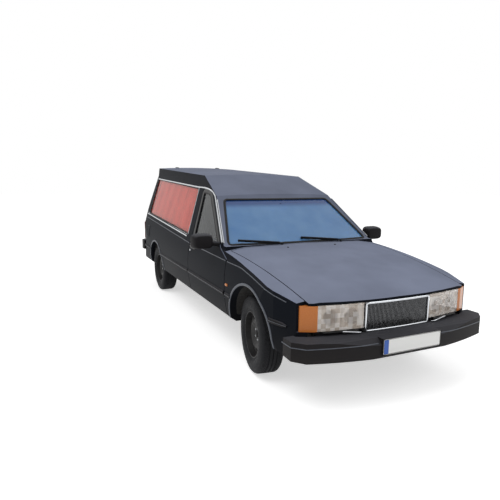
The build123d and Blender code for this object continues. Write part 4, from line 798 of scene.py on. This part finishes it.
SEAT_X, SEAT_Y = 0.395, 0.370
SEAT_FORMS = {
    "cushion": ([(-0.220, 0.480), (0.240, 0.480), (0.258, 0.580), (0.225, 0.602), (-0.170, 0.575)], 0.238),
    "back": ([(-0.230, 0.486), (-0.182, 0.590), (-0.215, 0.650), (-0.352, 1.108), (-0.430, 1.108), (-0.335, 0.600)],
             0.228),
    "headrest": ([(-0.362, 1.158), (-0.368, 1.282), (-0.418, 1.282), (-0.422, 1.158)], 0.122),
}
for side, sign in SIDES.items():
    seat_y = sign * SEAT_Y
    for form, (outline, half) in SEAT_FORMS.items():
        padded_part(f"seat_{form}_{side}", np.array(outline) + (SEAT_X, 0), seat_y, half,
                    channels=() if form == "headrest" else (-0.45, 0.45))
    posts = [sweep(spread([(SEAT_X - 0.390, seat_y + y, 1.100), (SEAT_X - 0.393, seat_y + y, 1.170)], 0.02),
                   crowned(0.012, 0.006, sunk=0.006), (1, 0, 0)) for y in (-0.040, 0.040)]
    posts = make_piece(f"headrest_posts_{side}", join(posts), chrome)
    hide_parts("front_seats")
    base = rounded([(0.200, seat_y - 0.190), (0.570, seat_y - 0.190), (0.570, seat_y + 0.190),
                    (0.200, seat_y + 0.190)], 0.03)
    scale = np.array([1.0, 0.97, 0.94, 0.97])[:, None, None]
    level = np.array([0.349, 0.380, 0.440, 0.478])[:, None, None]
    middle = base.mean(axis=0)
    ring = middle + (base - middle)[None] * scale
    points = np.concatenate([ring, np.broadcast_to(level, (4, len(base), 1))], axis=-1)
    form = points, grid_faces(4, points.shape[1], wrap=True, caps=True)
    base = make_piece(f"seat_base_{side}", form, cabin_plastic)
    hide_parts("front_seats")
print("two front seats")

# %% [markdown]
# ## Inside the cabin
# Through the glass one sees a hood over the instruments, the driver's mirror and the belts that hang at the door
# posts. The belt is flat webbing, carried along its line as a thin strip.

# %% Instrument hood, inner mirror, belts and gear lever
hood = button((0.800, SEAT_Y, 0.912), (-0.25, 0, 1), (0, 1, 0), (0.185, 0.090), 0.045, square=0.5, flat=0.6)
make_piece("instrument_hood", hood, cabin_plastic)
vents = [button((0.714, y, 0.862), (-1, 0, 0.5), (0, 1, 0), (0.048, 0.024), 0.006, square=0.35, flat=0.85)
         for y in (-0.56, -0.06, 0.06, 0.60)]
make_piece("air_vents", join(vents), wiper_black)
glass = button((0.520, 0.0, 1.262), (-1, 0.12, -0.1), (0, 1, 0), (0.118, 0.030), 0.020, square=0.5, flat=0.9)
make_piece("inner_mirror", glass, silvered_glass)
stem = spread([(0.525, 0, 1.266), (0.540, 0, 1.290), (0.555, 0, 1.315)], 0.01)
form = sweep(stem, crowned(0.016, 0.008, sunk=0.008), (1, 0, 0))
make_piece("inner_mirror_stem", form, wiper_black)
WEBBING = [(0.023, -0.0007), (0.023, 0.0007), (-0.023, 0.0007), (-0.023, -0.0007)]
for side, sign in SIDES.items():
    line = [(-0.090, sign * 0.640, 1.280), (-0.030, sign * 0.655, 1.150), (0.060, sign * 0.665, 0.900),
            (0.075, sign * 0.670, 0.700), (0.070, sign * 0.675, 0.470)]
    form = sweep(spread(line, 0.03), WEBBING, (0, sign, 0))
    make_piece(f"seat_belt_{side}", form, webbing)
lever = spread([(0.640, 0, 0.470), (0.610, 0, 0.600), (0.585, 0, 0.700)], 0.02)
form = sweep(lever, crowned(0.012, 0.006, sunk=0.006), (1, 0, 0))
make_piece("gear_lever", form, wiper_black)
knob = button((0.588, 0, 0.692), (-0.2, 0, 1), (1, 0, 0), (0.022, 0.019), 0.040, flat=0.4)
make_piece("gear_knob", knob, cabin_plastic)

# %% [markdown]
# ## Curtains
# Behind each filmed window hangs a gathered curtain of thin pale voile on a slim rail. Gathering gives near-regular
# pleats that open out a little towards the hem. The cloth is one sheet, a wave in plan whose depth grows downward.
# The cloth's tone darkens in the pleats' valleys and along a slower wave: a painted shade, kept as an attribute of
# the mesh, from the same wave, and the material reads it.

# %% The voile reads its painted pleat shade
PLEAT = 0.085
tree, socket, base = tone_of(voile)
# Painted shade: where the attribute is 0 the voile takes a darker salmon tone.
fold_shade = add_node(tree, "Attribute", attribute_name="pleat_shade").outputs["Fac"]
tree.links.new(mix(tree, fold_shade, linear("#8f5e55"), base), socket)

# %% Gathered curtains
ROWS, COLUMNS = 12, 420
for side, sign in SIDES.items():
    x = np.linspace(-0.150, -2.130, COLUMNS)[None, :]
    fall = np.linspace(0, 1, ROWS)[:, None]
    top, hem = np.interp(x, [-2.195, -0.182], [1.528, 1.437]), np.interp(x, [-2.135, -0.092], [1.030, 0.945])
    z = top * (1 - fall) + hem * fall
    slow = 0.25 * np.sin(2 * pi * x / 0.47) + 0.15 * np.sin(2 * pi * x / 0.29 + 1)
    wave = np.cos(2 * pi * x / PLEAT + slow * 4)
    depth = (0.012 + 0.010 * fall) * wave
    y = sign * (skin_y(x, z) - 0.058 + depth)
    grid = np.stack([np.broadcast_to(x, y.shape), y, z], axis=-1)
    form = grid, grid_faces(ROWS, COLUMNS)
    curtain = make_piece(f"curtain_{side}", form, voile, closed=False, sharp=180)
    pleat_shade = curtain.data.attributes.new("pleat_shade", "FLOAT", "POINT")
    # Painted shade: 0 in the pleats' valleys, 1 on their crests, with a slower wave over it.
    tone = np.clip(0.5 + 0.5 * np.broadcast_to(wave, y.shape) + 0.25 * np.sin(2 * pi * x / 0.31), 0, 1)
    pleat_shade.data.foreach_set("value", tone.astype(np.float32).ravel())
    rail = spread([(-0.150, 0, 1.444), (-2.130, 0, 1.534)], 0.1)
    rail[:, 1] = sign * (skin_y(rail[:, 0], rail[:, 2]) - 0.058)
    form = sweep(rail, crowned(0.012, 0.006, sunk=0.006), (0, sign, 0))
    make_piece(f"curtain_rail_{side}", form, chrome)

# %% [markdown]
# ## The stage
# The car stands on a plain pale floor under soft studio light. The camera stands close to the
# car's right front corner. Its place, its three turns and its lens were worked out from the picture's own lines.
# The floor and the world look white to the camera, to mirrors and through glass.

# %% Floor, camera and light


def stage_white(tree, strength):
    """How much a ray sees the backdrop: 1 for camera, mirror and glass rays, and `strength` for soft light."""
    path = add_node(tree, "LightPath")
    either = add_node(tree, "Math", {0: path.outputs["Is Camera Ray"], 1: path.outputs["Is Glossy Ray"]},
                      operation="MAXIMUM")
    seen = add_node(tree, "Math", {0: either.outputs["Value"], 1: path.outputs["Is Transmission Ray"]},
                    operation="MAXIMUM")
    return add_node(tree, "MapRange", {"Value": seen.outputs["Value"], "To Min": strength, "To Max": 1.0})


world = bpy.data.worlds.new("studio")
bpy.context.scene.world = world
world.use_nodes = True
background = world.node_tree.nodes["Background"]
background.inputs["Color"].default_value = linear("#ffffff")
world.node_tree.links.new(stage_white(world.node_tree, 0.55).outputs["Result"], background.inputs["Strength"])

floor_mesh = bpy.data.meshes.new("floor")
floor_mesh.from_pydata([(-40, -40, 0), (40, -40, 0), (40, 40, 0), (-40, 40, 0)], [], [(0, 1, 2, 3)])
floor = bpy.data.objects.new("floor", floor_mesh)
floor.location.z = -0.002
bpy.context.scene.collection.objects.link(floor)
floor_finish = finish("matt_floor", ("#efefef", "#f1f1f1"), 2.0, 0.0, (0.9, 0.95), Specular_IOR_Level=0.0,
                      Emission_Color=linear("#ffffff"))
glow = stage_white(floor_finish.node_tree, 0.0)
glow.inputs["To Max"].default_value = 0.55
floor_finish.node_tree.links.new(glow.outputs["Result"],
                                 floor_finish.node_tree.nodes["Principled BSDF"].inputs["Emission Strength"])
floor_mesh.materials.append(floor_finish)

CAMERA_PLACE = (4.900, -2.345, 1.575)
CAMERA_TURN, CAMERA_TILT, CAMERA_ROLL = radians(155.34147), radians(-8.8176), radians(0.5016)
CAMERA_LENS = 462.893 / 500 * 36
camera_data = bpy.data.cameras.new("camera")
camera_data.sensor_width = 36
camera_data.lens = CAMERA_LENS
camera = bpy.data.objects.new("camera", camera_data)
bpy.context.scene.collection.objects.link(camera)
bpy.context.scene.camera = camera
ahead = np.array([cos(CAMERA_TURN) * cos(CAMERA_TILT), sin(CAMERA_TURN) * cos(CAMERA_TILT), sin(CAMERA_TILT)])
level = np.array([sin(CAMERA_TURN), -cos(CAMERA_TURN), 0.0])
above = np.cross(level, ahead)
right_hand = level * cos(CAMERA_ROLL) + above * sin(CAMERA_ROLL)
upward = above * cos(CAMERA_ROLL) - level * sin(CAMERA_ROLL)
matrix = np.eye(4)
matrix[:3, 0], matrix[:3, 1], matrix[:3, 2], matrix[:3, 3] = right_hand, upward, -ahead, CAMERA_PLACE
camera.matrix_world = Matrix(matrix.tolist())

# name, place, width, watts
LAMPS = [("key", (2.5, -4.5, 7.5), 5.0, 230.0), ("fill", (7.0, 5.0, 5.5), 5.0, 140.0),
         ("back", (-7.0, 2.0, 6.0), 5.0, 140.0)]
for name, spot, size, power in LAMPS:
    lamp = bpy.data.lights.new(name, "AREA")
    lamp.size, lamp.energy = size, power
    light = bpy.data.objects.new(name, lamp)
    bpy.context.scene.collection.objects.link(light)
    light.location = spot
    light.rotation_mode = "QUATERNION"
    aim = Vector((0, 0, 0.8)) - Vector(spot)
    light.rotation_quaternion = aim.to_track_quat("-Z", "Y")
bpy.context.scene.view_settings.view_transform = "Standard"
